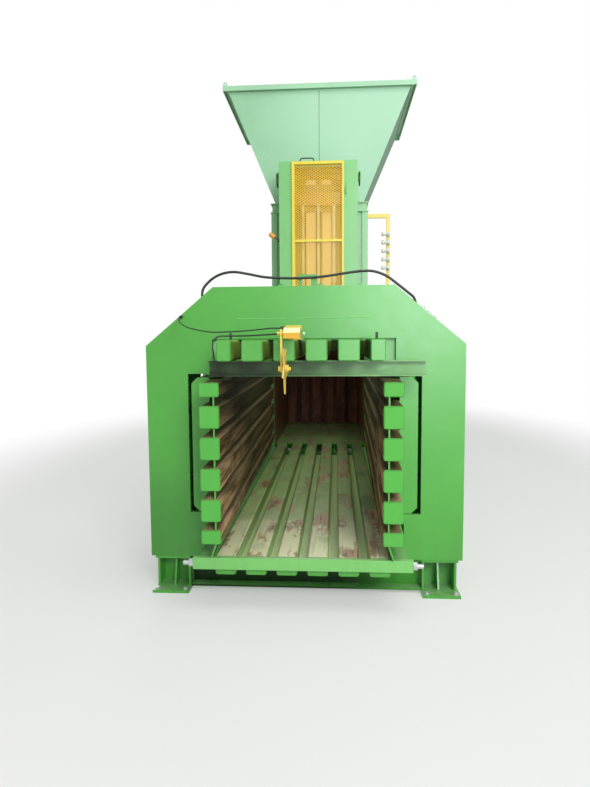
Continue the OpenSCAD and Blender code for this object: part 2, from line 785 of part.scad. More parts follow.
// Closed gear housing between the racks, with its hydraulic motor
module carriage_drive() {
    color([0.45, 0.47, 0.45]) {
        box([-drive_x, guide_y0 - 0.3, carriage_low],
            [drive_x, guide_y0 + guide_t + 40, carriage_low + carriage_h]);
        rod_y(0, guide_y0 + guide_t + 40, carriage_low + carriage_h / 2, 88, 90);
    }
}

needle_w = 30;
needle_d = 80;
needle_low = top_z + 54;

// Five flat needles with pointed tips and an eye for the wire
module needles() {
    color(bare_steel) for (i = [0:needle_n - 1]) difference() {
        along_x(needle_x(i) - needle_w / 2, needle_w) polygon([
            [y_at(needle_s) - needle_d / 2, carriage_low - weld_gap],
            [y_at(needle_s) - needle_d / 2, needle_low + 90], [y_at(needle_s) - 12, needle_low],
            [y_at(needle_s) + 12, needle_low], [y_at(needle_s) + needle_d / 2, needle_low + 90],
            [y_at(needle_s) + needle_d / 2, carriage_low - weld_gap]
        ]);
        rod_x(needle_x(i) - needle_w / 2 - 1, y_at(needle_s), needle_low + 40, 14, needle_w + 2);
    }
}

// Twisters under the floor

twister_top = floor_h - floor_tube_h - 80;
twister_low = 30;
twister_y0 = y_at(needle_s - needle_beam_gap) + weld_gap;
twister_y1 = y_at(needle_s + needle_beam_gap) - weld_gap;
hook_y = y_at(needle_s) + 80;
hook_shaft_d = 28;

module twister_housing() {
    color([0.30, 0.34, 0.30]) difference() {
        union() {
            box([-needle_x(needle_n - 1) - 90, twister_y0, twister_low],
                [needle_x(needle_n - 1) + 90, twister_y1, twister_top]);
            rod_x(needle_x(needle_n - 1) + 90, hook_y, (twister_low + twister_top) / 2, 90, 150);
        }
        for (i = [0:needle_n - 1]) translate([needle_x(i), hook_y, twister_top - 60])
            cylinder(d = hook_shaft_d + 2 * pin_gap, h = 61, $fn = arc_fn);
    }
}

// Shaft with a claw that catches both strands and twists them
module twister_hook(i) {
    color(bare_steel) translate([needle_x(i - 1), hook_y, 0]) {
        translate([0, 0, twister_top - 60 + run_gap]) cylinder(d = hook_shaft_d, h = 100, $fn = arc_fn);
        translate([0, 0, twister_top + 40]) linear_extrude(14) difference() {
            circle(d = 62, $fn = arc_fn);
            translate([8, 0]) circle(d = 34, $fn = arc_fn);
            translate([0, 0]) square([40, 22]);
        }
        translate([0, 0, twister_top + 30]) cylinder(d = 40, h = 10.5, $fn = arc_fn);
    }
}

// Press chamber

chamber_t = 25;
chamber_s = wall_l + 60;
floor_plate_s = needle_s + 100;
chamber_rib_x = 720;
chamber_rib_t = 16;
chamber_rib_pitch = 700;
chamber_rib_end = 400;                             // from the last rib to the rear edge
chamber_rib_s = [chamber_s, feed_s - 20, feed_s + feed_l / 3, feed_s + feed_l * 2 / 3,
    for (i = [0:3]) ram_face_s + i * chamber_rib_pitch, machine_l - chamber_rib_end];
chamber_low = floor_h - floor_tube_h;
low_wall_z = channel_h - 236;

module chamber_walls() {
    color(green) for (side = [0, 1]) mirror([side, 0, 0]) difference() {
        union() {
            along_x(chamber_w / 2, chamber_t) polygon([
                [y_at(chamber_s), chamber_low], [y_at(machine_l), chamber_low],
                [y_at(machine_l), floor_h + low_wall_z], [y_at(machine_l - 500), top_z],
                [y_at(chamber_s), top_z]
            ]);
            for (s = chamber_rib_s)
                box([chamber_w / 2 + chamber_t, y_at(s), chamber_low],
                    [chamber_rib_x, y_at(s) + chamber_rib_t,
                     s > machine_l - 500 ? floor_h + low_wall_z : top_z]);
            // Fixed hinge lugs below and above the knuckles
            for (z = [knuckle_low - lug_h_fixed - run_gap, knuckle_high + knuckle_h + run_gap])
                translate([hinge_x, y_at(wall_l), floor_h + z]) {
                    cylinder(d = knuckle_d, h = lug_h_fixed, $fn = arc_fn);
                    box([-32, 0, 0], [32, chamber_s - wall_l, lug_h_fixed]);
                }
        }
        translate([hinge_x, y_at(wall_l), floor_h])
            cylinder(d = hinge_pin_d + 2 * pin_gap, h = channel_h, $fn = arc_fn);
    }
}

notch_w = 100;
notch_l = 45;

module chamber_floor() {
    half = chamber_w / 2 - weld_gap;
    color(worn_green) {
        translate([0, 0, floor_h - 20]) linear_extrude(20) difference() {
            translate([-half, y_at(floor_plate_s)]) square([2 * half, machine_l - 90 - floor_plate_s]);
            for (i = [0:needle_n - 1])
                translate([needle_x(i) - notch_w / 2, y_at(floor_plate_s) - 1])
                    square([notch_w, notch_l + 1]);
        }
        for (x = [-1, -0.36, 0.36, 1])
            box([x * (half - 30) - 10, y_at(floor_plate_s + 80), chamber_low],
                [x * (half - 30) + 10, y_at(machine_l - 90), floor_h - 20]);
    }
}

shear_beam_h = 160;

// Beam over the chamber with the fixed knife along its rear edge
module shear_beam() {
    post_x = chute_in + corner_out + chute_t - corner_w - weld_gap;
    color(green) {
        box([-chamber_w / 2 - chamber_t, y_at(shear_s), top_z],
            [chamber_w / 2 + chamber_t, y_at(feed_s) - corner_t - weld_gap, top_z + shear_beam_h]);
        box([-post_x, y_at(feed_s) - corner_t - weld_gap, top_z],
            [post_x, y_at(feed_s) - weld_gap, top_z + shear_beam_h]);
    }
    color(bare_steel) box([-chamber_w / 2 + 1, y_at(feed_s) - 30, top_z - 8],
        [chamber_w / 2 - 1, y_at(feed_s), top_z]);
}

ram_gap = 8;
ram_x = chamber_w / 2 - ram_gap;
ram_low = floor_h + ram_gap;
ram_high = top_z - 14;
groove_w = tube_pitch - tube_w;
ram_wall = 20;

module ram_head() {
    color(rust_brown) difference() {
        box([-ram_x, y_at(ram_face_s), ram_low], [ram_x, y_at(ram_back_s), ram_high]);
        for (i = [0:needle_n - 1])
            box([needle_x(i) - groove_w / 2, y_at(ram_face_s) - 1, ram_low - 1],
                [needle_x(i) + groove_w / 2, y_at(ram_face_s + ram_groove), ram_high + 1]);
    }
}

module ram_body() {
    z = (ram_low + ram_high) / 2;
    color(green) translate([0, 0, z]) along_y(y_at(ram_back_s), ram_body_l) difference() {
        square([2 * ram_x, ram_high - ram_low], center = true);
        square([2 * (ram_x - ram_wall), ram_high - ram_low - 2 * ram_wall], center = true);
    }
}

cylinder_z = floor_h + channel_h / 2;
cylinder_wall = 25;
gland_l = 80;
rear_plate_t = 60;
rear_s = machine_l - 80;
cylinder_s = ram_back_s + 310;
piston_l = 100;
piston_s = rear_s - 40 - 30 - piston_l;

module main_rod() {
    color(zinc) {
        rod_y(0, y_at(ram_back_s + 60), cylinder_z, rod_d, piston_s - ram_back_s - 60);
        rod_y(0, y_at(piston_s), cylinder_z, cylinder_d - 2 * cylinder_wall - 2 * run_gap, piston_l);
    }
    color(dark_steel) rod_y(0, y_at(ram_back_s), cylinder_z, rod_d + 110, 60);
}

module main_cylinder() {
    color(dark_steel) difference() {
        union() {
            rod_y(0, y_at(cylinder_s), cylinder_z, cylinder_d, rear_s - cylinder_s);
            rod_y(0, y_at(rear_s - 40), cylinder_z, cylinder_d + 140, 40);
            rod_y(0, y_at(cylinder_s), cylinder_z, cylinder_d + 24, gland_l);
            for (s = [cylinder_s + 160, rear_s - 120]) translate([0, y_at(s), cylinder_z])
                cylinder(d = 50, h = cylinder_d / 2 + 40, $fn = arc_fn);
        }
        rod_y(0, y_at(cylinder_s) - 1, cylinder_z, rod_d + 2 * run_gap, gland_l + 2);
        rod_y(0, y_at(cylinder_s + gland_l), cylinder_z, cylinder_d - 2 * cylinder_wall,
            rear_s - 30 - cylinder_s - gland_l);
    }
}

rear_rib_l = 70;
rear_rib_t = 30;
rear_rib_low = 120;
rear_rib_drop = 160;                               // from the walls' low edge to the upper rib
rear_rib_z = [rear_rib_low, low_wall_z - rear_rib_drop];

// Cross member that takes the thrust of the main cylinder
module rear_frame() {
    half = chamber_w / 2 - weld_gap;
    color(green) {
        box([-half, y_at(rear_s), floor_h], [half, y_at(rear_s) + rear_plate_t, floor_h + low_wall_z]);
        for (z = rear_rib_z)
            box([-half, y_at(rear_s) - rear_rib_l, floor_h + z],
                [half, y_at(rear_s) - weld_gap, floor_h + z + rear_rib_t]);
    }
}

// Feed chute and hopper

chute_t = 12;
chute_in = chamber_w / 2 + 1;
corner_w = 76;
corner_out = 52;
corner_t = 24;
chute_low = top_z;
chute_top = floor_h + collar_top;
chute_y0 = y_at(feed_s);
chute_y1 = y_at(feed_s + feed_l);
collar_h = 125;
collar_lip = 62;

module chute_ring(y_in, x_out, y_out) {
    difference() {
        translate([-x_out, chute_y0 - y_out]) square([2 * x_out, chute_y1 - chute_y0 + 2 * y_out]);
        translate([-chute_in, chute_y0 + y_in]) square([2 * chute_in, chute_y1 - chute_y0 - 2 * y_in]);
    }
}

// Four plates, four corner posts and a flanged collar, welded as one box
module chute_box() {
    lip_x = chute_in + collar_lip + 10;
    color(light_green) {
        translate([0, 0, chute_low]) linear_extrude(chute_top - chute_low)
            chute_ring(chute_t, chute_in + chute_t, 0);
        for (side = [0, 1]) mirror([side, 0, 0])
            translate([0, 0, chute_low]) linear_extrude(chute_top - chute_low - collar_h) {
                translate([chute_in + corner_out + chute_t - corner_w, chute_y0 - corner_t])
                    square([corner_w, corner_t]);
                translate([chute_in + chute_t, chute_y0 - corner_t]) square([corner_out, corner_w]);
                translate([chute_in + chute_t, chute_y1 - corner_w]) square([corner_out, corner_w]);
            }
        for (z = [chute_top - collar_h, chute_top - 12]) translate([0, 0, z]) linear_extrude(12)
            chute_ring(chute_t, lip_x, 36);
        translate([0, 0, chute_top - collar_h]) linear_extrude(collar_h)
            chute_ring(chute_t, lip_x - 22, 14);
    }
}

hopper_t = 8;
hopper_low = chute_top;
hopper_high = chute_top + hopper_h;
hopper_y0 = chute_y0 + chute_t;
hopper_y1 = chute_y1 - chute_t;
mouth_half = hopper_mouth_w / 2;
panel_gap = 0.1;

// A sheet between an inner and an outer edge line, given at the bottom and at the top
module sheet_panel(a, b, c, d, out_ab, out_cd) {
    polyhedron(
        points = [a, b, c, d, a + out_ab[0], b + out_ab[1], c + out_cd[0], d + out_cd[1]],
        faces = [[3, 2, 1, 0], [4, 5, 6, 7], [1, 5, 4, 0], [2, 6, 5, 1], [3, 7, 6, 2], [0, 4, 7, 3]]
    );
}

// Front panel of two sheets that meet on the centre line, rear panel and two side panels
module hopper_panels() {
    z0 = hopper_low;
    z1 = hopper_high;
    y1 = hopper_y1 + hopper_lean;
    t = hopper_t;
    color(light_green) {
        for (side = [0, 1]) mirror([side, 0, 0]) along_y(hopper_y0 - t, t) polygon([
            [1, z0], [chute_in + t, z0], [mouth_half + t, z1], [1, z1]
        ]);
        along_y(hopper_y0 - t, t) translate([-1 + panel_gap, z0]) square([2 - 2 * panel_gap, z1 - z0 - 4]);
        for (side = [0, 1]) mirror([side, 0, 0]) sheet_panel(
            [chute_in, hopper_y0 + panel_gap, z0], [mouth_half, hopper_y0 + panel_gap, z1],
            [mouth_half, y1, z1], [chute_in, hopper_y1, z0],
            [[t, 0, 0], [t, 0, 0]], [[t, 0, 0], [t, 0, 0]]
        );
        sheet_panel(
            [-chute_in - t, hopper_y1 + panel_gap, z0], [chute_in + t, hopper_y1 + panel_gap, z0],
            [mouth_half + t, y1 + panel_gap, z1], [-mouth_half - t, y1 + panel_gap, z1],
            [[0, t, 0], [0, t, 0]], [[0, t, 0], [0, t, 0]]
        );
    }
}

rim_lip = 50;
rim_h = 52;

// Angle round the hopper's mouth with four lifting lugs
module hopper_rim() {
    x0 = mouth_half + hopper_t;
    ya = hopper_y0 - hopper_t;
    yb = hopper_y1 + hopper_lean + hopper_t + panel_gap;
    color(light_green) {
        translate([0, 0, hopper_high]) linear_extrude(10) difference() {
            translate([-x0 - rim_lip, ya - rim_lip]) square([2 * (x0 + rim_lip), yb - ya + 2 * rim_lip]);
            translate([-mouth_half, hopper_y0]) square([2 * mouth_half, yb - hopper_y0 - hopper_t]);
        }
        translate([0, 0, hopper_high - rim_h]) linear_extrude(rim_h) difference() {
            translate([-x0 - rim_lip, ya - rim_lip]) square([2 * (x0 + rim_lip), yb - ya + 2 * rim_lip]);
            translate([-x0 - rim_lip + 8, ya - rim_lip + 8])
                square([2 * (x0 + rim_lip) - 16, yb - ya + 2 * rim_lip - 16]);
        }
        for (side = [0, 1], y = [ya - rim_lip + 8, yb + rim_lip - 20]) mirror([side, 0, 0])
            translate([x0 + rim_lip - 34, 0, hopper_high + 10]) along_y(y, 12) difference() {
                union() {
                    translate([-26, 0]) square([52, 26]);
                    translate([0, 26]) circle(d = 52, $fn = arc_fn);
                }
                translate([0, 26]) circle(d = 24, $fn = arc_fn);
                translate([-30, -30]) square([60, 30]);
            }
    }
}

// Wire guide

guide_tube = 50;
wire_x0 = beam_x1 - guide_tube;
wire_y = y_at(feed_s + 60);
wire_high = chute_top - collar_h - 20;
wire_low = floor_h + portal_bottom;
wire_roller_drop = 710;                            // from the top bar to the lowest spool
wire_roller_z = wire_high - wire_roller_drop;
wire_pin_d = 16;
wire_pin_y = wire_y - roller_d / 2 - 6;            // the spools stand in front of the post
pin_plate_x = wire_x0 + guide_tube - 10;
pin_plate_t = 6;
spool_x = pin_plate_x - 2 - roller_l;              // left end of each spool
function roller_z(i) = wire_roller_z + (i - 1) * roller_pitch;

module wire_guide_frame() {
    color(yellow) difference() {
        union() {
            box([chute_in + chute_t + weld_gap, wire_y, wire_high - guide_tube],
                [wire_x0 + guide_tube, wire_y + guide_tube, wire_high]);
            box([wire_x0, wire_y, wire_low],
                [wire_x0 + guide_tube, wire_y + guide_tube, wire_high - guide_tube]);
            for (i = [1:5]) {
                box([pin_plate_x, wire_pin_y - 17, roller_z(i) - 17],
                    [pin_plate_x + pin_plate_t, wire_y + 1, roller_z(i) + 17]);
                rod_x(spool_x - 3, wire_pin_y, roller_z(i), wire_pin_d, roller_l + 6);
                rod_x(spool_x - 10, wire_pin_y, roller_z(i), 40, 8);
            }
        }
    }
}

// White spool with a groove for the wire
module wire_roller(i) {
    color(white) translate([spool_x, wire_pin_y, roller_z(i)]) rotate([0, 90, 0])
        rotate_extrude($fn = arc_fn) polygon([
            [wire_pin_d / 2 + pin_gap, 0], [roller_d / 2, 0], [roller_d / 2, roller_l * 0.12],
            [roller_d / 2 - 9, roller_l * 0.5], [roller_d / 2, roller_l * 0.88], [roller_d / 2, roller_l],
            [wire_pin_d / 2 + pin_gap, roller_l]
        ]);
}

// Measuring wheel

star_x = -80;
star_t = 10;
pivot_z = tube_top + 34;
hub_z = pivot_z - arm_l;
arm_x = star_x - star_t / 2 - 8;
arm_t = 10;
axle_d = 20;
hood_x0 = -84;
hood_x1 = 10;
hood_y0 = y_at(star_s) - 30;
hood_t = 8;
hood_front = 66;
hood_rear = 86;

// Bracket bolted on the tubes, with a folded hood over the pivot
module device_hood() {
    low = tube_top;
    color(yellow) {
        along_x(hood_x0, hood_x1 - hood_x0) difference() {
            polygon([
                [hood_y0, low + 6], [hood_y0 - 4, low + 38], [hood_y0 + 24, low + hood_front],
                [y_at(60), low + hood_rear], [y_at(60), low + hood_rear - hood_t],
                [hood_y0 + 30, low + hood_front - hood_t], [hood_y0 + 4 + hood_t, low + 36],
                [hood_y0 + hood_t + 8, low + 6]
            ]);
        }
        along_x(hood_x0, hood_t) polygon([
            [y_at(star_s) - 22, pivot_z - 22], [y_at(52), pivot_z - 22],
            [y_at(52), low + hood_rear - hood_t],
            [hood_y0 + 30, low + hood_front - hood_t + 2], [y_at(star_s) - 22, low + 50]
        ]);
        box([hood_x1 - hood_t, y_at(20), low], [hood_x1, y_at(60), low + hood_rear - hood_t - 1]);
        box([hood_x0 + hood_t, y_at(20), low], [hood_x1 - hood_t, y_at(60), low + 10]);
        rod_x(arm_x - arm_t - 18, y_at(star_s), pivot_z, axle_d, hood_x0 - arm_x + arm_t + 18);
    }
    color(green) box([hood_x1, y_at(4), tube_top], [hood_x1 + 8, y_at(64), tube_top + 62]);
    color(zinc) rod_x(hood_x1 + 8, y_at(30), tube_top + 34, 20, 10);
}

module wheel_arm() {
    color(yellow) {
        difference() {
            along_x(arm_x - arm_t, arm_t) union() {
                translate([y_at(star_s), pivot_z]) circle(d = 52, $fn = arc_fn);
                translate([y_at(star_s), hub_z]) circle(d = 46, $fn = arc_fn);
                polygon([
                    [y_at(star_s) - 22, pivot_z], [y_at(star_s) + 22, pivot_z],
                    [y_at(star_s) + 18, hub_z], [y_at(star_s) - 18, hub_z]
                ]);
            }
            rod_x(arm_x - arm_t - 1, y_at(star_s), pivot_z, axle_d + 2 * pin_gap, arm_t + 2);
        }
        rod_x(arm_x - arm_t - 14, y_at(star_s), hub_z, 30, 14);
        rod_x(arm_x - arm_t, y_at(star_s), hub_z, axle_d, star_x + star_t / 2 + 40 - arm_x);
    }
}

// Flat star with pointed teeth, one of them straight down, and a round hub
module star_wheel() {
    root_r = star_r * 0.46;
    color(yellow) difference() {
        union() {
            along_x(star_x - star_t / 2, star_t) polygon([for (i = [0:2 * star_n - 1])
                let (a = 180 * i / star_n - 90, r = i % 2 == 0 ? star_r : root_r)
                [y_at(star_s) + r * cos(a), hub_z + r * sin(a)]]);
            rod_x(star_x - star_t / 2 - 6, y_at(star_s), hub_z, 48, star_t + 24);
        }
        rod_x(star_x - star_t / 2 - 7, y_at(star_s), hub_z, axle_d + 2 * pin_gap, star_t + 26);
    }
}

// Cords. Each point of a route is x, station and height: over the top tubes for the cable and the
// lead, and over the channel floor for the hose.

hose_d = 18;
cable_d = 8;
lead_d = 10;
gland_d = 20;
hose_foot_x = [for (x = [117, 156]) portal_top_w / 2 + x];
hose_stub_l = [46, 20];
hose_foot_h = 14;
function hose_end_x(i) = hose_foot_x[i] + hose_foot_h * sin(chamfer_turn);
function hose_end_z(i) = chamfer_z(hose_foot_x[i]) + hose_foot_h * cos(chamfer_turn) + hose_stub_l[i];
hose_s = portal_start + 250;

cable_route = [
    [-806, 320, 154], [-806, 282, 150], [-790, 220, 124], [-750, 174, 94], [-680, 138, 70],
    [-560, 98, 50], [-440, 60, 50], [-330, 20, 54], [-240, -30, 61],
    [-170, -80, 66], [-128, -106, 66], [-108, -110, 66]
];
lead_route = [
    [-108, -60, 34], [-140, -56, 32], [-250, 0, 27], [-350, 34, 24],
    [-440, 34, 24], [-500, 20, 20], [-531, 14, -16], [-532, 22, -76], [-524, 40, -140],
    [-500, 66, -204], [-462, 100, -243], [-438, 150, -242], [-428, 190, -204], [-428, 200, -155]
];
hose_route = [
    [-hose_end_x(0), hose_s, hose_end_z(0)], [-718, hose_s, 1708], [-698, hose_s, 1746],
    [-640, hose_s, 1798], [-570, hose_s, 1829], [-490, hose_s, 1838], [-390, hose_s, 1822],
    [-280, hose_s, 1800], [-150, hose_s, 1791], [0, hose_s, 1790], [140, hose_s, 1800],
    [270, hose_s, 1818], [380, hose_s, 1831], [470, hose_s, 1830], [560, hose_s, 1797],
    [640, hose_s, 1738], [710, hose_s, 1682], [746, hose_s, 1650],
    [hose_end_x(1), hose_s, hose_end_z(1)]
];

// A smooth line through the points, with n steps between two of them
function spline_at(p, i, t) = let (
    a = p[max(i - 1, 0)], b = p[i], c = p[i + 1], d = p[min(i + 2, len(p) - 1)]
) 0.5 * (2 * b + (c - a) * t + (2 * a - 5 * b + 4 * c - d) * t * t + (3 * b - a - 3 * c + d) * t * t * t);
function smooth(p, n) = concat(
    [for (i = [0:len(p) - 2], k = [0:n - 1]) spline_at(p, i, k / n)], [p[len(p) - 1]]);
function unit(v) = v / norm(v);
function tangent(p, i) = unit(p[min(i + 1, len(p) - 1)] - p[max(i - 1, 0)]);

// A round tube swept along the points; up is a direction that the route never follows
module tube_along(p, d, sides, up) {
    rings = [for (i = [0:len(p) - 1]) let (
        t = tangent(p, i), u = unit(cross(up, t)), v = cross(t, u)
    ) [for (k = [0:sides - 1]) p[i] + d / 2 * (cos(360 * k / sides) * u + sin(360 * k / sides) * v)]];
    n = len(p);
    polyhedron(
        points = [for (r = rings, q = r) q],
        faces = concat(
            [[for (k = [0:sides - 1]) k]],
            [for (i = [0:n - 2], k = [0:sides - 1]) [
                i * sides + k, (i + 1) * sides + k,
                (i + 1) * sides + (k + 1) % sides, i * sides + (k + 1) % sides
            ]],
            [[for (k = [sides - 1:-1:0]) (n - 1) * sides + k]]
        )
    );
}

function placed(route, base) = [for (q = route) [q[0], y_at(q[1]), base + q[2]]];

module device_cable() {
    color(black) tube_along(smooth(placed(cable_route, tube_top), 2), cable_d, 8, [0.5, 0.2, 1]);
}

module device_lead() {
    color(black) tube_along(smooth(placed(lead_route, tube_top), 2), lead_d, 8, [0.1, 1, 0.35]);
}

module pinch_hose() {
    color(black) tube_along(smooth(placed(hose_route, floor_h), 2), hose_d, 8, [0, 1, 0]);
}

// Cable glands where the cable and the lead leave the frame, the hood and a top tube
module cable_glands() {
    start = cable_route[0];
    stop = lead_route[len(lead_route) - 1];
    color(black) {
        rod_y(start[0], y_at(start[1]), tube_top + start[2], gland_d, portal_start - start[1]);
        for (q = [cable_route[len(cable_route) - 1], lead_route[0]])
            rod_x(q[0], y_at(q[1]), tube_top + q[2], gland_d, hood_x0 - q[0]);
        translate([stop[0], y_at(stop[1]), tube_top + stop[2]])
            cylinder(d = gland_d, h = top_z - tube_top - stop[2], $fn = arc_fn);
    }
}

portal_front_plate();
portal_rear_plate();
portal_rim();
base_frame();
frame_feet();
portal_top_lugs();
hose_fittings();
outlet_cross_channel();
threshold_bar();
threshold_bolts();
floor_tubes();
top_tubes();
channel_frames();
wall_hinge_pins();
pinch_cylinders();
wall_rails(1);  // left_wall_rails
wall_plates(1);  // left_wall_plates
wall_rails(0);  // right_wall_rails
wall_plates(0);  // right_wall_plates
pinch_rods(1);  // left_pinch_rods
pinch_rods(0);  // right_pinch_rods
tower_posts();
tower_head();
needle_guides();
guard_door_frame();
guard_door_mesh();
door_latch();
needle_carriage();
carriage_drive();
needles();
twister_housing();
twister_hook(1);  // twister_hook_1
twister_hook(2);  // twister_hook_2
twister_hook(3);  // twister_hook_3
twister_hook(4);  // twister_hook_4
twister_hook(5);  // twister_hook_5
chamber_walls();
chamber_floor();
shear_beam();
ram_head();
ram_body();
main_rod();
main_cylinder();
rear_frame();
chute_box();
hopper_panels();
hopper_rim();
wire_guide_frame();
wire_roller(1);  // wire_roller_1
wire_roller(2);  // wire_roller_2
wire_roller(3);  // wire_roller_3
wire_roller(4);  // wire_roller_4
wire_roller(5);  // wire_roller_5
device_hood();
wheel_arm();
star_wheel();
cable_glands();
device_cable();
device_lead();
pinch_hose();
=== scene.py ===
import math

import bmesh
import bpy
from mathutils import Matrix, Vector


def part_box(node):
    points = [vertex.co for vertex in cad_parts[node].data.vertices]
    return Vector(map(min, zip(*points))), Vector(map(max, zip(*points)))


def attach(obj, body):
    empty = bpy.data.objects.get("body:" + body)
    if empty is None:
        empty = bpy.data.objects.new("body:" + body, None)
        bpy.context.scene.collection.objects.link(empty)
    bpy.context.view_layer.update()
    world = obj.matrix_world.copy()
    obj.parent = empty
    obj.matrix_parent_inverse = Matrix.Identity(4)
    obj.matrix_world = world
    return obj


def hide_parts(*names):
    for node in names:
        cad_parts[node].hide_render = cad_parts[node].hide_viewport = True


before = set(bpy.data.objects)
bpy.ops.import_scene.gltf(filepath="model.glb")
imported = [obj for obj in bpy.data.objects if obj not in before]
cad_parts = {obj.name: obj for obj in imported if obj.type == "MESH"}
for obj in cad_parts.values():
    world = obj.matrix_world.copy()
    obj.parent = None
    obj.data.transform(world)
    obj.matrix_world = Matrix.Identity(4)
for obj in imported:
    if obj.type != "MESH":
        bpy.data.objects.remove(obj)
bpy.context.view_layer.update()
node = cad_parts

# The room
# A pale floor and soft daylight from the right and from above. The camera stands in front of the
# outlet, a little right of the middle, and looks down the channel.
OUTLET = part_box("top_tubes")[0].y
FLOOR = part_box("threshold_bar")[1].z


def at(x, behind, up):
    """A point of the machine: across, behind the outlet, and above the channel floor."""
    return Vector((x, OUTLET + behind, FLOOR + up))


def rgb(r, g, b):
    """A colour as a screen shows it, made linear for a shader."""
    linear = [c / 255 / 12.92 if c < 10.31 else ((c / 255 + 0.055) / 1.055) ** 2.4 for c in (r, g, b)]
    return (*linear, 1.0)


class Value:
    """A shader value. Python's operators on it add Math nodes to the finish that it belongs to."""

    def __init__(self, finish, socket):
        self.finish, self.socket = finish, socket

    def math(self, operation, *values):
        return self.finish.node("Math", {"operation": operation}, *values)

    def __add__(self, other):
        return self.math("ADD", self, other)

    def __sub__(self, other):
        return self.math("SUBTRACT", self, other)

    def __rsub__(self, other):
        return self.math("SUBTRACT", other, self)

    def __mul__(self, other):
        return self.math("MULTIPLY", self, other)

    def __abs__(self):
        return self.math("ABSOLUTE", self)

    def __gt__(self, other):
        return self.math("GREATER_THAN", self, other)

    def __lt__(self, other):
        return self.math("LESS_THAN", self, other)

    __radd__ = __add__
    __rmul__ = __mul__

    def rise(self, low, high):
        """0 below low, 1 above high, and a smooth rise in between."""
        return self.finish.node("MapRange", {"interpolation_type": "SMOOTHSTEP"}, self, low, high, 0.0, 1.0)


class Finish:
    """One finish of the machine: a material that is put together node by node."""

    def __init__(self, name):
        self.material = bpy.data.materials.new(name)
        self.material.use_nodes = True
        self.tree = self.material.node_tree
        self.surface = self.tree.nodes["Principled BSDF"]
        self.place = self.node("TexCoord", out="Object")
        self.x, self.y, self.z = self.parts(self.place)
        self.out_x, self.out_y, self.out_z = self.parts(self.node("NewGeometry", out="Normal"))

    def node(self, kind, settings=None, *values, out=0, **named):
        made = self.tree.nodes.new("ShaderNode" + kind)
        for key, value in (settings or {}).items():
            setattr(made, key, value)
        for key, value in [*enumerate(values), *named.items()]:
            self.feed(made, key.replace("_", " ") if isinstance(key, str) else key, value)
        return Value(self, made.outputs[out])

    def feed(self, made, key, value):
        if isinstance(value, Value):
            self.tree.links.new(value.socket, made.inputs[key])
        elif value is not None:
            made.inputs[key].default_value = value

    def parts(self, vector):
        made = self.node("SeparateXYZ", None, vector).socket.node
        return [Value(self, made.outputs[i]) for i in range(3)]

    def mix(self, factor, a, b):
        return self.node("Mix", {"data_type": "RGBA"}, factor, *[None] * 5, a, b, out=2)

    def noise(self, scale, detail=4.0, rough=0.55, stretch=(1.0, 1.0, 1.0)):
        place = self.node("VectorMath", {"operation": "MULTIPLY"}, self.place, stretch)
        return self.node("TexNoise", None, place, Scale=scale, Detail=detail, Roughness=rough)

    def relief(self, height, distance, strength):
        self.feed(self.surface, "Normal", self.node("Bump", None, strength, distance, Height=height))

    def done(self, **named):
        for key, value in named.items():
            self.feed(self.surface, key.replace("_", " "), value)
        return self.material


def shape(name, points, faces, material):
    """A plain mesh as an object of the scene."""
    mesh = bpy.data.meshes.new(name)
    mesh.from_pydata([tuple(p) for p in points], [], faces)
    mesh.materials.append(material)
    made = bpy.data.objects.new(name, mesh)
    bpy.context.scene.collection.objects.link(made)
    return made


# The floor goes over into plain white away from the machine, so that no horizon shows. Under the
# machine it stays a floor in shade, because it can be seen between the floor tubes.
room = Finish("room_floor")
reach = room.node("VectorMath", {"operation": "MULTIPLY"}, room.place, (1.0, 0.55, 1.0))
away = room.node("VectorMath", {"operation": "LENGTH"}, reach, out=1).rise(3.0, 6.0) * 0.6 + 0.4
beside, behind_outlet, before_rear = (0.7, 1.2), (OUTLET + 0.2, OUTLET + 1.0), (4.2, 4.9)
below = (1.0 - abs(room.x).rise(*beside)) * room.y.rise(*behind_outlet)
away = away * (1.0 - below * (1.0 - room.y.rise(*before_rear)))
seen, mirrored, through_glass = (
    room.node("LightPath", out=kind) for kind in ("Is Camera Ray", "Is Glossy Ray", "Is Transmission Ray"))
room.done(Base_Color=rgb(226, 225, 222), Roughness=0.9, Specular_IOR_Level=0.1)
faded = room.node("MixShader", None, (seen + mirrored + through_glass) * away,
                  Value(room, room.surface.outputs[0]), room.node("Emission", None, (1, 1, 1, 1), 1.0))
room.feed(room.tree.nodes["Material Output"], "Surface", faded)
edge = 60.0
shape("room_floor", [(-edge, -edge, 0), (edge, -edge, 0), (edge, edge, 0), (-edge, edge, 0)],
               [(0, 1, 2, 3)], room.material)

# The world adds a little bluish light. Where it is seen itself or mirrored, it is plain white.
world = bpy.data.worlds.new("room")
bpy.context.scene.world = world
world.use_nodes = True
sky, wires = world.node_tree.nodes, world.node_tree.links
sky["Background"].inputs["Color"].default_value = (0.9, 0.95, 1.0, 1)
sky["Background"].inputs["Strength"].default_value = 0.36
white = sky.new("ShaderNodeBackground")
white.inputs["Color"].default_value = (1, 1, 1, 1)
path = sky.new("ShaderNodeLightPath")
direct, clear = sky.new("ShaderNodeMath"), sky.new("ShaderNodeMath")
choose = sky.new("ShaderNodeMixShader")
direct.operation = clear.operation = "MAXIMUM"
for source, target in ((path.outputs["Is Camera Ray"], direct.inputs[0]),
                       (path.outputs["Is Glossy Ray"], direct.inputs[1]),
                       (direct.outputs[0], clear.inputs[0]),
                       (path.outputs["Is Transmission Ray"], clear.inputs[1]),
                       (clear.outputs[0], choose.inputs[0]),
                       (sky["Background"].outputs[0], choose.inputs[1]),
                       (white.outputs[0], choose.inputs[2]),
                       (choose.outputs[0], sky["World Output"].inputs["Surface"])):
    wires.new(source, target)


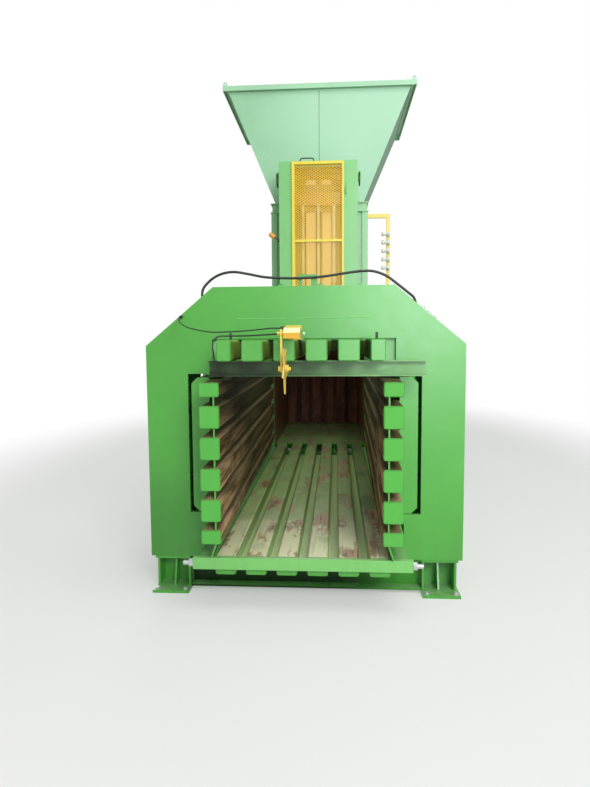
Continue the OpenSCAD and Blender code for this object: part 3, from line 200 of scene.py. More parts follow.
def lamp(name, place, target, size, power, colour):
    """A soft rectangular lamp at a place, turned to a target."""
    data = bpy.data.lights.new(name, "AREA")
    data.shape, data.size, data.size_y = "RECTANGLE", size[0], size[1]
    data.energy, data.color = power, colour
    made = bpy.data.objects.new(name, data)
    bpy.context.scene.collection.objects.link(made)
    made.location = place
    made.rotation_euler = (Vector(target) - Vector(place)).to_track_quat("-Z", "Y").to_euler()
    return made


lamp("front_window", (3.4, OUTLET - 8.0, 5.8), (0.3, OUTLET + 1.0, 1.3), (4.0, 3.0), 560, (0.97, 1.0, 1.0))
lamp("roof_window", (2.5, OUTLET - 1.0, 9.0), (0, OUTLET + 2.0, 1.0), (5, 7), 330, (1.0, 0.99, 0.95))
lamp("rear_window", (-4.0, OUTLET + 15.0, 7.0), (0, OUTLET + 6, 2.0), (6, 5), 420, (1.0, 0.99, 0.96))

# Two small lamps bring daylight deep into the channel and behind the tower's guard.
deep_lamps = (lamp("channel_lamp", at(0, 2.6, 1.21), at(0, 2.6, 0), (0.8, 3.0), 8, (1.0, 1.0, 0.94)),
              lamp("tower_lamp", at(0, 4.008, 2.5), at(0, 4.5, 2.5), (0.5, 1.9), 3.2, (1.0, 0.86, 0.66)))
for deep_lamp in deep_lamps:
    deep_lamp.visible_camera = False

# A bluish lamp behind the camera shows as a soft gleam on the frame's upper right.
gleam = lamp("gleam_window", (2.0, OUTLET - 8.0, 2.4), (0.8, OUTLET, 1.9), (2.6, 2.2), 300, (0.86, 0.9, 1.0))
gleam.visible_diffuse = False

# The camera's focal length is in pixels of a picture that is 787 high. The angles are in degrees.
SENSOR, FOCAL_LENGTH, PICTURE_HEIGHT = 36.0, 600, 787
TILT, ROLL, TURN = 5.05, 0.42, 3.853
lens = bpy.data.cameras.new("camera")
lens.sensor_width = SENSOR
lens.lens = SENSOR * FOCAL_LENGTH / PICTURE_HEIGHT
lens.clip_start, lens.clip_end = 0.1, 200
camera = bpy.data.objects.new("camera", lens)
bpy.context.scene.collection.objects.link(camera)
camera.location = at(0.2122, -3.60, 1.36)
camera.rotation_euler = (math.radians(90 - TILT), math.radians(ROLL), math.radians(TURN))
bpy.context.scene.camera = camera
bpy.context.scene.view_settings.view_transform = "Standard"

# Tension frame
# The frame round the outlet is flame-cut plate, 30 mm thick in front and at the back, closed by
# welded side plates. It is sprayed a fresh green over everything, welds and bolts included.
low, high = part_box("portal_front_plate")
PLATE_FRONT = low.y - OUTLET
FRAME_HALF, FRAME_TOP = high.x, high.z - FLOOR
FRAME_FOOT, SHOULDER, TOP_HALF = -0.105, 1.330, 0.595
RIM_FRONT, RIM_REAR = (corner.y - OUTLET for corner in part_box("portal_rim"))


def tone(colour, factor):
    """The colour, made darker or lighter by a factor."""
    return (*(min(c * factor, 1.0) for c in colour[:3]), 1.0)


def coat(material, *names):
    """Gives solids their finish."""
    for name in names:
        slots = node[name].data.materials
        if not slots:
            slots.append(material)
        for i in range(len(slots)):
            slots[i] = material


def machine_paint(name, colour, dust=0.3, grime=0.22, gloss=0.28, shine=0.6, wear_and_shading=None):
    """Sprayed paint. The last argument may lay wear and dirt over the fresh colour, and at some parts
    painted light and shade.
    """
    paint = Finish(name)
    drift = paint.noise(0.8, 3.0)
    mottle = paint.noise(13.0, 5.0, 0.6)
    runs = paint.noise(8.0, 5.0, 0.6, (1.0, 1.0, 0.1))
    base = paint.mix(drift.rise(0.3, 0.7), tone(colour, 0.92), tone(colour, 1.08))
    base = paint.mix(mottle.rise(0.45, 0.8) * 0.12, base, tone(colour, 1.3))
    base = paint.mix(runs.rise(0.6, 0.8) * 0.15, base, tone(colour, 0.6))
    scuffs = paint.noise(34.0, 6.0, 0.7).rise(0.66, 0.7) * paint.noise(1.7, 3.0).rise(0.5, 0.62)
    base = paint.mix(scuffs * 0.35, base, tone(colour, 0.5))
    base = paint.mix(paint.out_z.rise(0.6, 0.95) * mottle.rise(0.2, 0.6) * dust, base, rgb(198, 206, 182))
    low = (1.0 - paint.z.rise(0.0, 0.7)) * runs.rise(0.3, 0.7) * grime
    base = paint.mix(low, base, rgb(70, 84, 54))
    if wear_and_shading:
        base = wear_and_shading(paint, base)
    paint.relief(paint.noise(240.0, 2.0) * 0.5 + mottle * 0.9, 0.0009, 0.35)
    return paint.done(Base_Color=base, Roughness=mottle * 0.12 + gloss, Specular_IOR_Level=shine)


GREEN = rgb(82, 174, 62)
green = machine_paint("green_paint", GREEN)
coat(green, "portal_rear_plate", "portal_top_lugs")


def shaded_lower_left(paint, fresh):
    """The lower left of the front plate is painted darker, a painted shade where the plate lies in shadow.
    """
    low = (1.0 - paint.z.rise(FLOOR + 0.1, FLOOR + 0.75)) * (1.0 - paint.x.rise(-1.0, -0.5))
    return paint.mix(low * 0.55, fresh, rgb(36, 104, 26))


coat(machine_paint("front_plate_paint", GREEN, wear_and_shading=shaded_lower_left), "portal_front_plate")


def lit_closing_plates(paint, fresh):
    """The plates that close the opening beside the edge tubes are painted a paler green, painted light that
    offsets the shade in their recess.
    """
    front = paint.y < OUTLET + RIM_FRONT + 0.012
    near = front * (paint.z > FLOOR + 1.2) * (abs(paint.x) < 0.66)
    return paint.mix(near, fresh, rgb(146, 208, 138))


coat(machine_paint("rim_paint", GREEN, shine=0.2, wear_and_shading=lit_closing_plates), "portal_rim")


def ride(made, body):
    """Fixes a piece to its body."""
    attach(made, body)


def cut_plate(name, low, high, material):
    """A plate with softened edges."""
    made = shape(name, [], [], material)
    work = bmesh.new()
    bmesh.ops.create_cube(work, size=1.0)
    for v in work.verts:
        v.co = Vector([low[i] + (v.co[i] + 0.5) * (high[i] - low[i]) for i in range(3)])
    bmesh.ops.bevel(work, geom=work.edges[:], offset=0.0012, segments=2, affect="EDGES")
    work.to_mesh(made.data)
    work.free()
    return made


# A cover plate is welded over the top tubes to the front plate.
COVER_HALF, COVER_LOW, COVER_HIGH, COVER_THICK = 0.424, 1.374, 1.505, 0.0035
cover = cut_plate("outlet_cover_plate", at(-COVER_HALF, PLATE_FRONT - COVER_THICK, COVER_LOW),
                  at(COVER_HALF, PLATE_FRONT, COVER_HIGH), green)
ride(cover, "frame")


class Growth:
    """A shape that Geometry Nodes repeat along a path or a row, with its sizes as named inputs."""

    def __init__(self, name, **sizes):
        self.name = name
        self.tree = bpy.data.node_groups.new(name, "GeometryNodeTree")
        self.tree.interface.new_socket("Geometry", in_out="INPUT", socket_type="NodeSocketGeometry")
        self.values = {}
        for key, value in sizes.items():
            kind = "NodeSocketInt" if isinstance(value, int) else "NodeSocketFloat"
            made = self.tree.interface.new_socket(key.replace("_", " "), in_out="INPUT", socket_type=kind)
            self.values[made.identifier] = value
        self.tree.interface.new_socket("Geometry", in_out="OUTPUT", socket_type="NodeSocketGeometry")
        self.given = self.tree.nodes.new("NodeGroupInput").outputs
        self.result = self.tree.nodes.new("NodeGroupOutput").inputs

    def node(self, kind, settings=None, values=(), **named):
        made = self.tree.nodes.new(kind)
        for key, value in (settings or {}).items():
            setattr(made, key, value)
        for key, value in [*enumerate(values), *named.items()]:
            socket = made.inputs[key.replace("_", " ") if isinstance(key, str) else key]
            if isinstance(value, bpy.types.NodeSocket):
                self.tree.links.new(value, socket)
            else:
                socket.default_value = value
        return made.outputs[0]

    def math(self, operation, *values):
        return self.node("ShaderNodeMath", {"operation": operation}, values=values)

    def vector(self, *values):
        return self.node("ShaderNodeCombineXYZ", values=values)

    def joined(self, *shapes):
        both = self.tree.nodes.new("GeometryNodeJoinGeometry")
        for one in shapes:
            self.tree.links.new(one, both.inputs[0])
        return both.outputs[0]

    def grown(self, geometry, start, material):
        """Runs the nodes on the start mesh and leaves a plain mesh."""
        real = self.node("GeometryNodeRealizeInstances", Geometry=geometry)
        painted = self.node("GeometryNodeSetMaterial", Geometry=real, Material=material)
        self.tree.links.new(painted, self.result[0])
        seed = bpy.data.objects.new(self.name + "_start", start)
        bpy.context.scene.collection.objects.link(seed)
        growth = seed.modifiers.new("growth", "NODES")
        growth.node_group = self.tree
        for identifier, value in self.values.items():
            growth[identifier] = value
        ready = seed.evaluated_get(bpy.context.evaluated_depsgraph_get())
        mesh = bpy.data.meshes.new_from_object(ready)
        mesh.shade_flat()
        bpy.data.objects.remove(seed)
        made = bpy.data.objects.new(self.name, mesh)
        bpy.context.scene.collection.objects.link(made)
        return made


def weld(name, lines, material, body, closed=False, radius=0.005):
    """A bead of weld along lines: overlapping drops, as the welder's hand left them."""
    bead = Growth(name, Drop_radius=radius, Drop_spacing=radius * 1.5)
    curve = bead.node("GeometryNodeMeshToCurve", Mesh=bead.given["Geometry"])
    even = bead.node("GeometryNodeResampleCurve", {"mode": "LENGTH"}, Curve=curve,
                     Length=bead.given["Drop spacing"])
    drop = bead.node("GeometryNodeMeshIcoSphere", Radius=bead.given["Drop radius"], Subdivisions=1)
    drops = bead.node("GeometryNodeInstanceOnPoints", Points=even, Instance=drop)
    points, edges = [], []
    for line in lines:
        first = len(points)
        points += [tuple(p) for p in line]
        edges += [(first + i, first + i + 1) for i in range(len(line) - 1)]
        if closed:
            edges.append((len(points) - 1, first))
    start = bpy.data.meshes.new(name)
    start.from_pydata(points, edges, [])
    ride(bead.grown(drops, start, material), body)


# The cover plate's bead is painted a paler green than the plate, a painted highlight along its round top.
lit_bead_paint = machine_paint("lit_bead_paint", rgb(140, 216, 130), shine=0.2)
cover_edge = [at(x, PLATE_FRONT - 0.0025, COVER_HIGH + 0.0005) for x in (-COVER_HALF, COVER_HALF)]
weld("cover_plate_weld", [cover_edge], lit_bead_paint, "frame", radius=0.0032)

# The plates rise straight to the shoulders and are chamfered to the top. The beads that join them
# to the rim lie just inside their edges.
right_half = [(TOP_HALF, FRAME_TOP), (FRAME_HALF, SHOULDER), (FRAME_HALF, FRAME_FOOT)]
outline = [(-x, z) for x, z in reversed(right_half)] + right_half
inside_edge, off_plate = 0.9995, 0.0003
for where, behind in (("front", RIM_FRONT + off_plate), ("rear", RIM_REAR - off_plate)):
    line = [at(x * inside_edge, behind, z * inside_edge) for x, z in outline]
    weld("portal_weld_" + where, [line], green, "frame", radius=0.0045)

# Base, feet and outlet bar
# Long beams and cross beams of welded profiles carry the channel. Each foot is a plate with two
# cheeks, a web and a slanted stiffener. A flat bar lies across the outlet, on zinc-plated bolts.


def sill_shade(paint, fresh):
    """The web of the sill under the outlet is painted dark, a painted shade under the outlet bar and the
    tubes, weaker towards the right.
    """
    web = (paint.out_y < -0.5) * (paint.z < FLOOR - 0.12) * (paint.y < OUTLET + 0.6)
    return paint.mix(web * (0.95 - paint.x.rise(0.2, 0.62) * 0.75), fresh, rgb(16, 48, 10))


coat(green, "frame_feet")
coat(machine_paint("base_paint", GREEN, shine=0.2, wear_and_shading=sill_shade), "base_frame")
coat(machine_paint("outlet_bar_paint", rgb(126, 204, 108)), "threshold_bar")


def plain_steel(name, colour, rough, stain, stain_colour, metal=0.85):
    """Steel without paint, bare or plated, with a fine upright grain and stains."""
    steel = Finish(name)
    grain = steel.noise(60.0, 3.0, 0.6, (1.0, 1.0, 0.2))
    spots = steel.noise(11.0, 5.0, 0.62)
    base = steel.mix(grain * 0.5, tone(colour, 0.86), tone(colour, 1.1))
    base = steel.mix(spots.rise(0.5, 0.72) * stain, base, stain_colour)
    steel.relief(grain * 0.6 + spots * 0.5, 0.0006, 0.3)
    return steel.done(Base_Color=base, Roughness=spots * 0.22 + rough, Metallic=metal)


zinc = plain_steel("zinc_plate", rgb(196, 200, 198), 0.34, 0.2, rgb(138, 136, 126), metal=0.5)
coat(zinc, "threshold_bolts", "hose_fittings")


def bolts(name, places, turn, thread, material):
    """Heads with washers for bolts of the given thread. They stand along +Z before the turn."""
    rack = Growth(name, Head_radius=thread * 0.95, Head_height=thread * 0.62, Washer_radius=thread * 1.25)
    head = rack.node("GeometryNodeMeshCylinder", Vertices=6, Radius=rack.given["Head radius"],
                     Depth=rack.given["Head height"])
    raised = rack.node("GeometryNodeTransform", Geometry=head, Translation=(0, 0, thread * 0.45))
    washer = rack.node("GeometryNodeMeshCylinder", Vertices=16, Radius=rack.given["Washer radius"],
                       Depth=thread * 0.2)
    dots = rack.node("GeometryNodeMeshToPoints", Mesh=rack.given["Geometry"])
    placed = rack.node("GeometryNodeInstanceOnPoints", Points=dots, Instance=rack.joined(raised, washer),
                       Rotation=turn)
    start = bpy.data.meshes.new(name)
    start.from_pydata([tuple(p) for p in places], [], [])
    ride(rack.grown(placed, start, material), "frame")


# Each foot has four anchor bolts, and a bead on both sides of its two cheeks.
FEET_BEHIND = (0.375, 3.990, 6.250, 9.080)
FOOT_PLATE = 0.020
BOLTS_X, BOLTS_BEHIND = (0.817, 1.007), (-0.055, 0.270)
CHEEKS_X, CHEEKS_BEHIND = (0.7915, 0.8075, 1.0065, 1.0225), (0.004, 0.29)
anchors, seams = [], []
for behind in FEET_BEHIND:
    foot = OUTLET + behind
    for sign in (-1, 1):
        for x in BOLTS_X:
            anchors += [Vector((sign * x, foot + y, FOOT_PLATE + 0.0015)) for y in BOLTS_BEHIND]
        for x in CHEEKS_X:
            seams.append([Vector((sign * x, foot + y, FOOT_PLATE + 0.0005)) for y in CHEEKS_BEHIND])
weld("foot_welds", seams, green, "frame")
bolts("anchor_bolts", anchors, (0, 0, 0), 0.016, zinc)

# Channel
# Six floor tubes and six top tubes of box steel, with welded caps at the outlet, in outer frames.
# The bales have scraped the floor: bare and rusty patches, scratches along the channel, dust on
# what paint is left.
SPACING, TUBE, EDGE_TUBE, FLOOR_TUBE = 0.195, 0.130, 0.088, 0.120
CLEAR_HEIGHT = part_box("top_tubes")[0].z - FLOOR
coat(green, "channel_frames")


def scraped_and_lit_floor(paint, fresh):
    """Lays dirt, scratches and rust over the top and the inner sides of the floor, with painted light and
    shade.
    """
    wide = paint.noise(5.0, 6.0, 0.62, (1.0, 0.5, 1.0))
    fine = paint.noise(44.0, 4.0, 0.62, (1.0, 0.035, 1.0))
    clouds = paint.noise(2.2, 4.0, 0.55, (1.4, 0.8, 1.0))
    deep = paint.y.rise(OUTLET + 0.15, OUTLET + 1.6)
    ground = paint.mix(clouds.rise(0.35, 0.65), rgb(140, 176, 102), rgb(168, 194, 124))
    # Paler near the outlet: partly rubbed steel, partly painted light from the front.
    rubbed = (1.0 - deep) * 0.45 + (1.0 - paint.y.rise(OUTLET + 0.78, OUTLET + 0.92)) * 0.5
    ground = paint.mix(rubbed * clouds.rise(0.15, 0.5), ground, rgb(240, 240, 192))
    ground = paint.mix(fine.rise(0.5, 0.66) * 0.5, ground, rgb(192, 192, 156))
    ground = paint.mix(wide.rise(0.5, 0.68) * (deep * 0.4 + 0.3), ground, rgb(96, 98, 58))
    # Darker deeper in and towards the right: partly dirt clouds and partly a painted shadow of the right
    # wall.
    shaded = paint.x.rise(0.15, 0.5) * 0.5 + clouds.rise(0.5, 0.62) * 0.35
    ground = paint.mix(deep * shaded, ground, rgb(74, 100, 50))
    bare = (wide + fine * 0.3 - deep * 0.03).rise(0.655, 0.73)
    mark = paint.mix(fine.rise(0.42, 0.6), rgb(128, 78, 58), rgb(196, 158, 124))
    ground = paint.mix(bare * 0.85, ground, mark)
    used = (paint.out_z > 0.35) * paint.y.rise(OUTLET + 0.066, OUTLET + 0.074)
    # The tubes' flanks and the groove bottoms are painted lighter, painted light that offsets their shade,
    # and darker deeper in, a painted shade.
    flanks = (abs(paint.out_x) > 0.5) * (paint.z < FLOOR - 0.012)
    lit_flanks = paint.mix(flanks * 0.85, fresh, paint.mix(deep, rgb(196, 222, 158), rgb(134, 158, 96)))
    low = (paint.z < FLOOR - 0.08) * (paint.out_z > 0.5)
    ground = paint.mix(low * 0.85, ground, paint.mix(deep, rgb(224, 240, 180), rgb(176, 200, 130)))
    return paint.mix(used, lit_flanks, ground)


floor_paint = machine_paint("scraped_floor_paint", GREEN, dust=0.0, wear_and_shading=scraped_and_lit_floor)
coat(floor_paint, "floor_tubes", "chamber_floor")


def studs_and_tube_shade(paint, fresh):
    """Two black studs stand on the top tubes. The tubes' flanks facing +X are painted a light olive, a
    painted light; their other flanks and, deeper in, their undersides are painted dark, a painted shade.
    """
    lit_side = paint.mix((paint.out_x > 0.5) * 0.6, fresh, rgb(146, 138, 70))
    fresh = paint.mix((paint.out_x < -0.5) * 0.85, lit_side, rgb(30, 40, 22))
    stud = (paint.z > FLOOR + CLEAR_HEIGHT + TUBE + 0.0005) * (paint.y < OUTLET + 0.1)
    inside = (paint.out_z < -0.5) * paint.y.rise(OUTLET + 0.16, OUTLET + 0.3)
    return paint.mix(stud, paint.mix(inside * 0.85, fresh, rgb(64, 60, 40)), rgb(28, 30, 26))


coat(machine_paint("top_tube_paint", GREEN, wear_and_shading=studs_and_tube_shade), "top_tubes")


def channel_glare(paint, fresh):
    """The cross channel is painted dark at the left, a painted shade, and pale at the right, a painted
    reflection.
    """
    glare_streaks = paint.noise(5.0, 4.0, 0.5, (0.6, 1.0, 2.0)).rise(0.4, 0.65)
    dirt = paint.noise(3.0, 4.0, 0.5, (1.0, 1.0, 3.0)).rise(0.4, 0.65)
    pale = paint.mix(glare_streaks, rgb(126, 182, 112), rgb(166, 228, 148))
    shaded_left = paint.mix(dirt, rgb(38, 62, 26), rgb(66, 96, 54))
    return paint.mix(paint.x.rise(-0.35, 0.85), shaded_left, pale)


channel_paint = machine_paint("channel_paint", rgb(80, 112, 72), dust=0.25, shine=0.3, wear_and_shading=channel_glare)
coat(channel_paint, "outlet_cross_channel")


def cap_ring(x, z, width, height, y):
    """The line of weld round the cap of a box tube, with its corners. x and z are its middle."""
    inset, corner = 0.0028, 0.0125
    ring = []
    for to_x, to_z, start in ((1, 1, 0), (-1, 1, 90), (-1, -1, 180), (1, -1, 270)):
        for further in (0, 45, 90):
            turn = math.radians(start + further)
            ring.append(Vector((x + to_x * (width / 2 - inset - corner) + corner * math.cos(turn), y,
                                z + to_z * (height / 2 - inset - corner) + corner * math.sin(turn))))
    return ring


# The beads run round the rear edges of the caps.
CAP, CAP_BEAD = 0.0068, 0.0042
floor_front, edge_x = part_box("floor_tubes")[0].y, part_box("top_tubes")[1].x - EDGE_TUBE / 2
rings = []
for i in range(6):
    x = (i - 2.5) * SPACING
    width, top_x = (EDGE_TUBE, math.copysign(edge_x, x)) if i in (0, 5) else (TUBE, x)
    rings.append(cap_ring(top_x, FLOOR + CLEAR_HEIGHT + TUBE / 2, width, TUBE, OUTLET + CAP))
    rings.append(cap_ring(x, FLOOR - FLOOR_TUBE / 2, TUBE, FLOOR_TUBE, floor_front + CAP))
weld("channel_cap_welds", rings, green, "frame", closed=True, radius=CAP_BEAD)

# Side walls
# Two walls of six box rails on upright ribs, hinged at the rear and pushed inwards at the outlet.
# Caps and outer sides keep fresh paint, and the bales have rubbed the inner side to brown steel.
# They narrow the channel from the chamber's clear width to the outlet's.
CHAMBER_CLEAR, OUTLET_CLEAR, WALL_STEP, WALL_LENGTH, HINGE_X = 1.150, 1.000, 0.010, 3.980, 0.6325
RAIL_WIDTH, RAIL, EDGE_RAIL, RAIL_GAP, LOWEST_RAIL = 0.125, 0.140, 0.088, 0.055, 0.095


def rubbed_and_shaded_wall(sign):
    """sign is +1 on the left wall, whose inner side faces +X, and -1 on the right one. The inner side is
    rubbed brown steel with painted shade.
    """
    def lay(paint, fresh):
        streaks = paint.noise(7.0, 5.0, 0.62, (1.0, 0.13, 3.0))
        blots = paint.noise(3.6, 5.0, 0.6)
        deep = paint.y.rise(OUTLET + 0.05, OUTLET + 1.5)
        steel = paint.mix(streaks.rise(0.36, 0.6), rgb(92, 62, 42), rgb(222, 182, 140))
        steel = paint.mix(blots.rise(0.45, 0.72) * 0.6, steel, rgb(70, 50, 36))
        # Painted shade: darker deeper in the channel, higher up, and on the rails' undersides.
        steel = paint.mix(deep * 0.8, steel, rgb(50, 42, 26))
        steel = paint.mix(paint.z.rise(FLOOR + 0.4, FLOOR + 1.0) * 0.85, steel, rgb(38, 30, 18))
        steel = paint.mix((paint.out_z > 0.5) * 0.35, steel, rgb(150, 132, 98))
        under = paint.mix(streaks.rise(0.4, 0.7), rgb(34, 28, 20), rgb(60, 46, 32))
        steel = paint.mix(paint.out_z < -0.5, steel, under)
        behind = paint.y.rise(OUTLET + 0.006, OUTLET + 0.018)
        kept = (1.0 - (paint.out_x * sign < -0.3)) * (1.0 - (paint.out_y < -0.5))
        return paint.mix(behind * kept * 0.97, fresh, steel)
    return lay


def shaded_strip_wall(sign):
    """The strips between the rails are painted dark on the channel's side, a painted shade between the
    rails.
    """
    def lay(paint, fresh):
        streaks = paint.noise(9.0, 5.0, 0.62, (1.0, 0.12, 3.0))
        dark = paint.mix(streaks.rise(0.35, 0.7), rgb(38, 32, 22), rgb(74, 60, 42))
        inner = (paint.out_x * sign > 0.5) * (abs(paint.x) < 0.625) * (paint.y > OUTLET + 0.018)
        return paint.mix(inner * 0.95, fresh, dark)
    return lay


wall_turn = math.asin((CHAMBER_CLEAR - WALL_STEP - OUTLET_CLEAR) / 2 / WALL_LENGTH)
for side, sign in (("left", 1), ("right", -1)):
    rail_paint = machine_paint(side + "_rail_paint", rgb(98, 186, 84), dust=0.1, gloss=0.6, shine=0.04,
                               wear_and_shading=rubbed_and_shaded_wall(sign))
    coat(rail_paint, side + "_wall_rails")
    coat(machine_paint(side + "_wall_paint", GREEN, wear_and_shading=shaded_strip_wall(sign)), side + "_wall_plates")
    pin = Matrix.Translation(at(-sign * HINGE_X, WALL_LENGTH, 0))
    turned_in = pin @ Matrix.Rotation(sign * wall_turn, 4, "Z")
    rings, rail_z = [], LOWEST_RAIL
    for i in range(6):
        height = EDGE_RAIL if i in (0, 5) else RAIL
        ring = cap_ring(0, rail_z + height / 2, RAIL_WIDTH, height, CAP - WALL_LENGTH)
        rings.append([turned_in @ p for p in ring])
        rail_z += height + RAIL_GAP
    weld(side + "_rail_cap_welds", rings, green, side + "_wall", closed=True, radius=CAP_BEAD)

needle_steel = plain_steel("needle_steel", rgb(158, 152, 142), 0.3, 0.5, rgb(112, 90, 66))
coat(needle_steel, "wall_hinge_pins")

# Cylinders
# Short cylinders in the sides of the tension frame press the walls inwards, and a long one behind
# the ram drives it. Their tubes are painted black, and their rods are ground and chromed.
rod_chrome = plain_steel("chromed_rod", rgb(214, 216, 218), 0.1, 0.05, rgb(170, 170, 168), metal=1.0)
dark_iron = plain_steel("dark_iron", rgb(56, 60, 56), 0.45, 0.4, rgb(84, 70, 56), metal=0.5)
coat(rod_chrome, "left_pinch_rods", "right_pinch_rods", "main_rod")
coat(dark_iron, "pinch_cylinders", "main_cylinder")

# Cords
# A cable and a lead run to the measuring wheel on the outlet, and one hose crosses the frame's
# top. All three are black rubber; the hose ends in pressed zinc couplings on the chamfers.
rubber = Finish("black_rubber")
smear = rubber.noise(40.0, 4.0)
rubber.relief(smear, 0.0004, 0.4)
rubber.done(Base_Color=rubber.mix(smear.rise(0.4, 0.8), rgb(20, 22, 20), rgb(46, 48, 44)),
            Roughness=smear * 0.2 + 0.42)
coat(rubber.material, "cable_glands")


def through(points, steps=6):
    """Points on a smooth line through the given ones."""
    line = []
    for i in range(len(points) - 1):
        a, b, c, d = (points[max(0, min(len(points) - 1, k))] for k in (i - 1, i, i + 1, i + 2))
        for k in range(steps):
            t = k / steps
            line.append(0.5 * (2 * b + (c - a) * t + (2 * a - 5 * b + 4 * c - d) * t * t
                               + (3 * b - a - 3 * c + d) * t * t * t))
    return line + [points[-1]]


def free_cord(name, solid, base, route, diameter):
    """route is in millimetres: across, behind the outlet, and above base, a height over the floor."""
    line = through([at(x / 1000, behind / 1000, base + up / 1000) for x, behind, up in route])
    data = bpy.data.curves.new(name, "CURVE")
    data.dimensions, data.fill_mode = "3D", "FULL"
    data.bevel_depth, data.bevel_resolution, data.use_fill_caps = diameter / 2, 3, True
    spline = data.splines.new("POLY")
    spline.points.add(len(line) - 1)
    for point, p in zip(spline.points, line):
        point.co = (*p, 1)
    data.materials.append(rubber.material)
    made = bpy.data.objects.new(name, data)
    bpy.context.scene.collection.objects.link(made)
    length = sum((b - a).length for a, b in zip(line, line[1:]))
    ride(made, "frame")
    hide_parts(solid)


TUBE_TOP = 1.366
free_cord("wheel_cable", "device_cable", TUBE_TOP, [
    (-806, 320, 154), (-806, 282, 150), (-790, 220, 124), (-750, 174, 94), (-680, 138, 70),
    (-560, 98, 50), (-440, 60, 50), (-330, 20, 54), (-240, -30, 61),
    (-170, -80, 66), (-128, -106, 66), (-108, -110, 66),
], 0.008)
free_cord("wheel_lead", "device_lead", TUBE_TOP, [
    (-108, -60, 34), (-140, -56, 32), (-250, 0, 27), (-350, 34, 24),
    (-440, 34, 24), (-500, 20, 20), (-531, 14, -16), (-532, 22, -76), (-524, 40, -140),
    (-500, 66, -204), (-462, 100, -243), (-438, 150, -242), (-428, 190, -204), (-428, 200, -155),
], 0.010)

# The hose lies in one plane across the frame's top. Its route is in millimetres too.
HOSE_BEHIND, COUPLING = 600, 14
chamfer = math.atan((FRAME_TOP - SHOULDER) / (FRAME_HALF - TOP_HALF))


def hose_end(x, rise):
    """Where the hose leaves its coupling, which stands square on the chamfer and then points up."""
    on_chamfer = 1000 * SHOULDER + (1000 * FRAME_HALF - abs(x)) * math.tan(chamfer)
    outwards = math.copysign(COUPLING * math.sin(chamfer), x)
    return (x + outwards, HOSE_BEHIND, on_chamfer + COUPLING * math.cos(chamfer) + rise)


over_the_top = [(x, HOSE_BEHIND, up) for x, up in (
    (-718, 1708), (-698, 1746), (-640, 1798), (-570, 1829), (-490, 1838), (-390, 1822), (-280, 1800),
    (-150, 1791), (0, 1790), (140, 1800), (270, 1818), (380, 1831), (470, 1830),
    (560, 1797), (640, 1738), (710, 1682), (746, 1650))]
free_cord("pinch_hose_line", "pinch_hose", 0.0, [hose_end(-712, 46), *over_the_top, hose_end(751, 20)],
          0.018)

# Measuring wheel
# A flat star of yellow plate turns on an arm that hangs under a folded hood. The passing bale
# turns it, and its sensor cable leaves at the left. A zinc bolt holds the hood at the right.
GREEN_FROM, BOLT_FROM = 0.0105, 0.0185


def hood_light_and_shade(paint, fresh):
    """A darker orange front, a painted shade, and a pale bevel, a painted highlight. A green strip and a
    zinc bolt at the right end.
    """
    bevel = (paint.out_y < -0.3) * (paint.out_z > 0.3)
    face = paint.mix(paint.out_y < -0.9, fresh, rgb(236, 178, 40))
    face = paint.mix(bevel, face, rgb(250, 238, 168))
    face = paint.mix(paint.x > GREEN_FROM, face, GREEN)
    return paint.mix(paint.x > BOLT_FROM, face, rgb(232, 236, 232))


yellow = machine_paint("yellow_paint", rgb(242, 208, 60), dust=0.12, grime=0.1)
coat(machine_paint("hood_paint", rgb(242, 206, 60), dust=0.12, wear_and_shading=hood_light_and_shade), "device_hood")
coat(yellow, "wheel_arm")
coat(machine_paint("star_paint", rgb(216, 186, 74), dust=0.1, grime=0.1), "star_wheel")

# Needle tower
# Two folded posts and a head plate with a lifting ring. Between the posts stand two flat guide
# columns of bare steel with racks, for the carriage that drives the needles down to the twisters.
HEAD_PLATE = 0.012
INSIDE_HALF, INSIDE_FRONT, INSIDE_REAR = 0.3215, OUTLET + 4.001, OUTLET + 4.72
INSIDE_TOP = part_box("tower_posts")[1].z + 0.0005


def tower_inside(paint, fresh):
    """Behind the guard everything wears a tan primer under oil and dust, the chute's front too."""
    stain = paint.noise(7.0, 4.0, 0.6, (1.0, 1.0, 0.4))
    primer = paint.mix(stain.rise(0.3, 0.7), rgb(196, 128, 44), rgb(150, 92, 34))
    inside = (abs(paint.x) < INSIDE_HALF) * (paint.y > INSIDE_FRONT) * (paint.y < INSIDE_REAR)
    return paint.mix(inside * (paint.z < INSIDE_TOP), fresh, primer)


def tower_iron(paint, fresh):
    """The ring and the bolt on the head plate are not painted."""
    iron = paint.mix(paint.x > 0.0, rgb(44, 58, 46), rgb(196, 200, 192))
    return paint.mix(paint.z > INSIDE_TOP + HEAD_PLATE, tower_inside(paint, fresh), iron)


PALE_GREEN = rgb(128, 203, 122)
coat(machine_paint("tower_paint", PALE_GREEN, wear_and_shading=tower_inside), "tower_posts")
coat(machine_paint("tower_head_paint", PALE_GREEN, wear_and_shading=tower_iron), "tower_head")
guide_steel = plain_steel("guide_steel", rgb(244, 212, 176), 0.5, 0.4, rgb(226, 184, 136), metal=0.05)
coat(guide_steel, "needle_guides")
coat(needle_steel, "needles", *["twister_hook_%d" % i for i in range(1, 6)])
coat(machine_paint("carriage_paint", rgb(146, 98, 42)), "needle_carriage", "carriage_drive")
shop_paint = machine_paint("shop_paint", rgb(88, 116, 84), dust=0.5, grime=0.3, gloss=0.24)
coat(shop_paint, "twister_housing")

# Guard door
# The tower's front is closed by a hinged frame of yellow flat steel with expanded metal welded
# behind it. Its hinges are at the right, and at the left it has a turning latch with an orange grip.
LATCH_X, LATCH_UP, LATCH_LEAN, GRIP_FROM = -0.4995, 2.615, math.radians(54), 0.0595


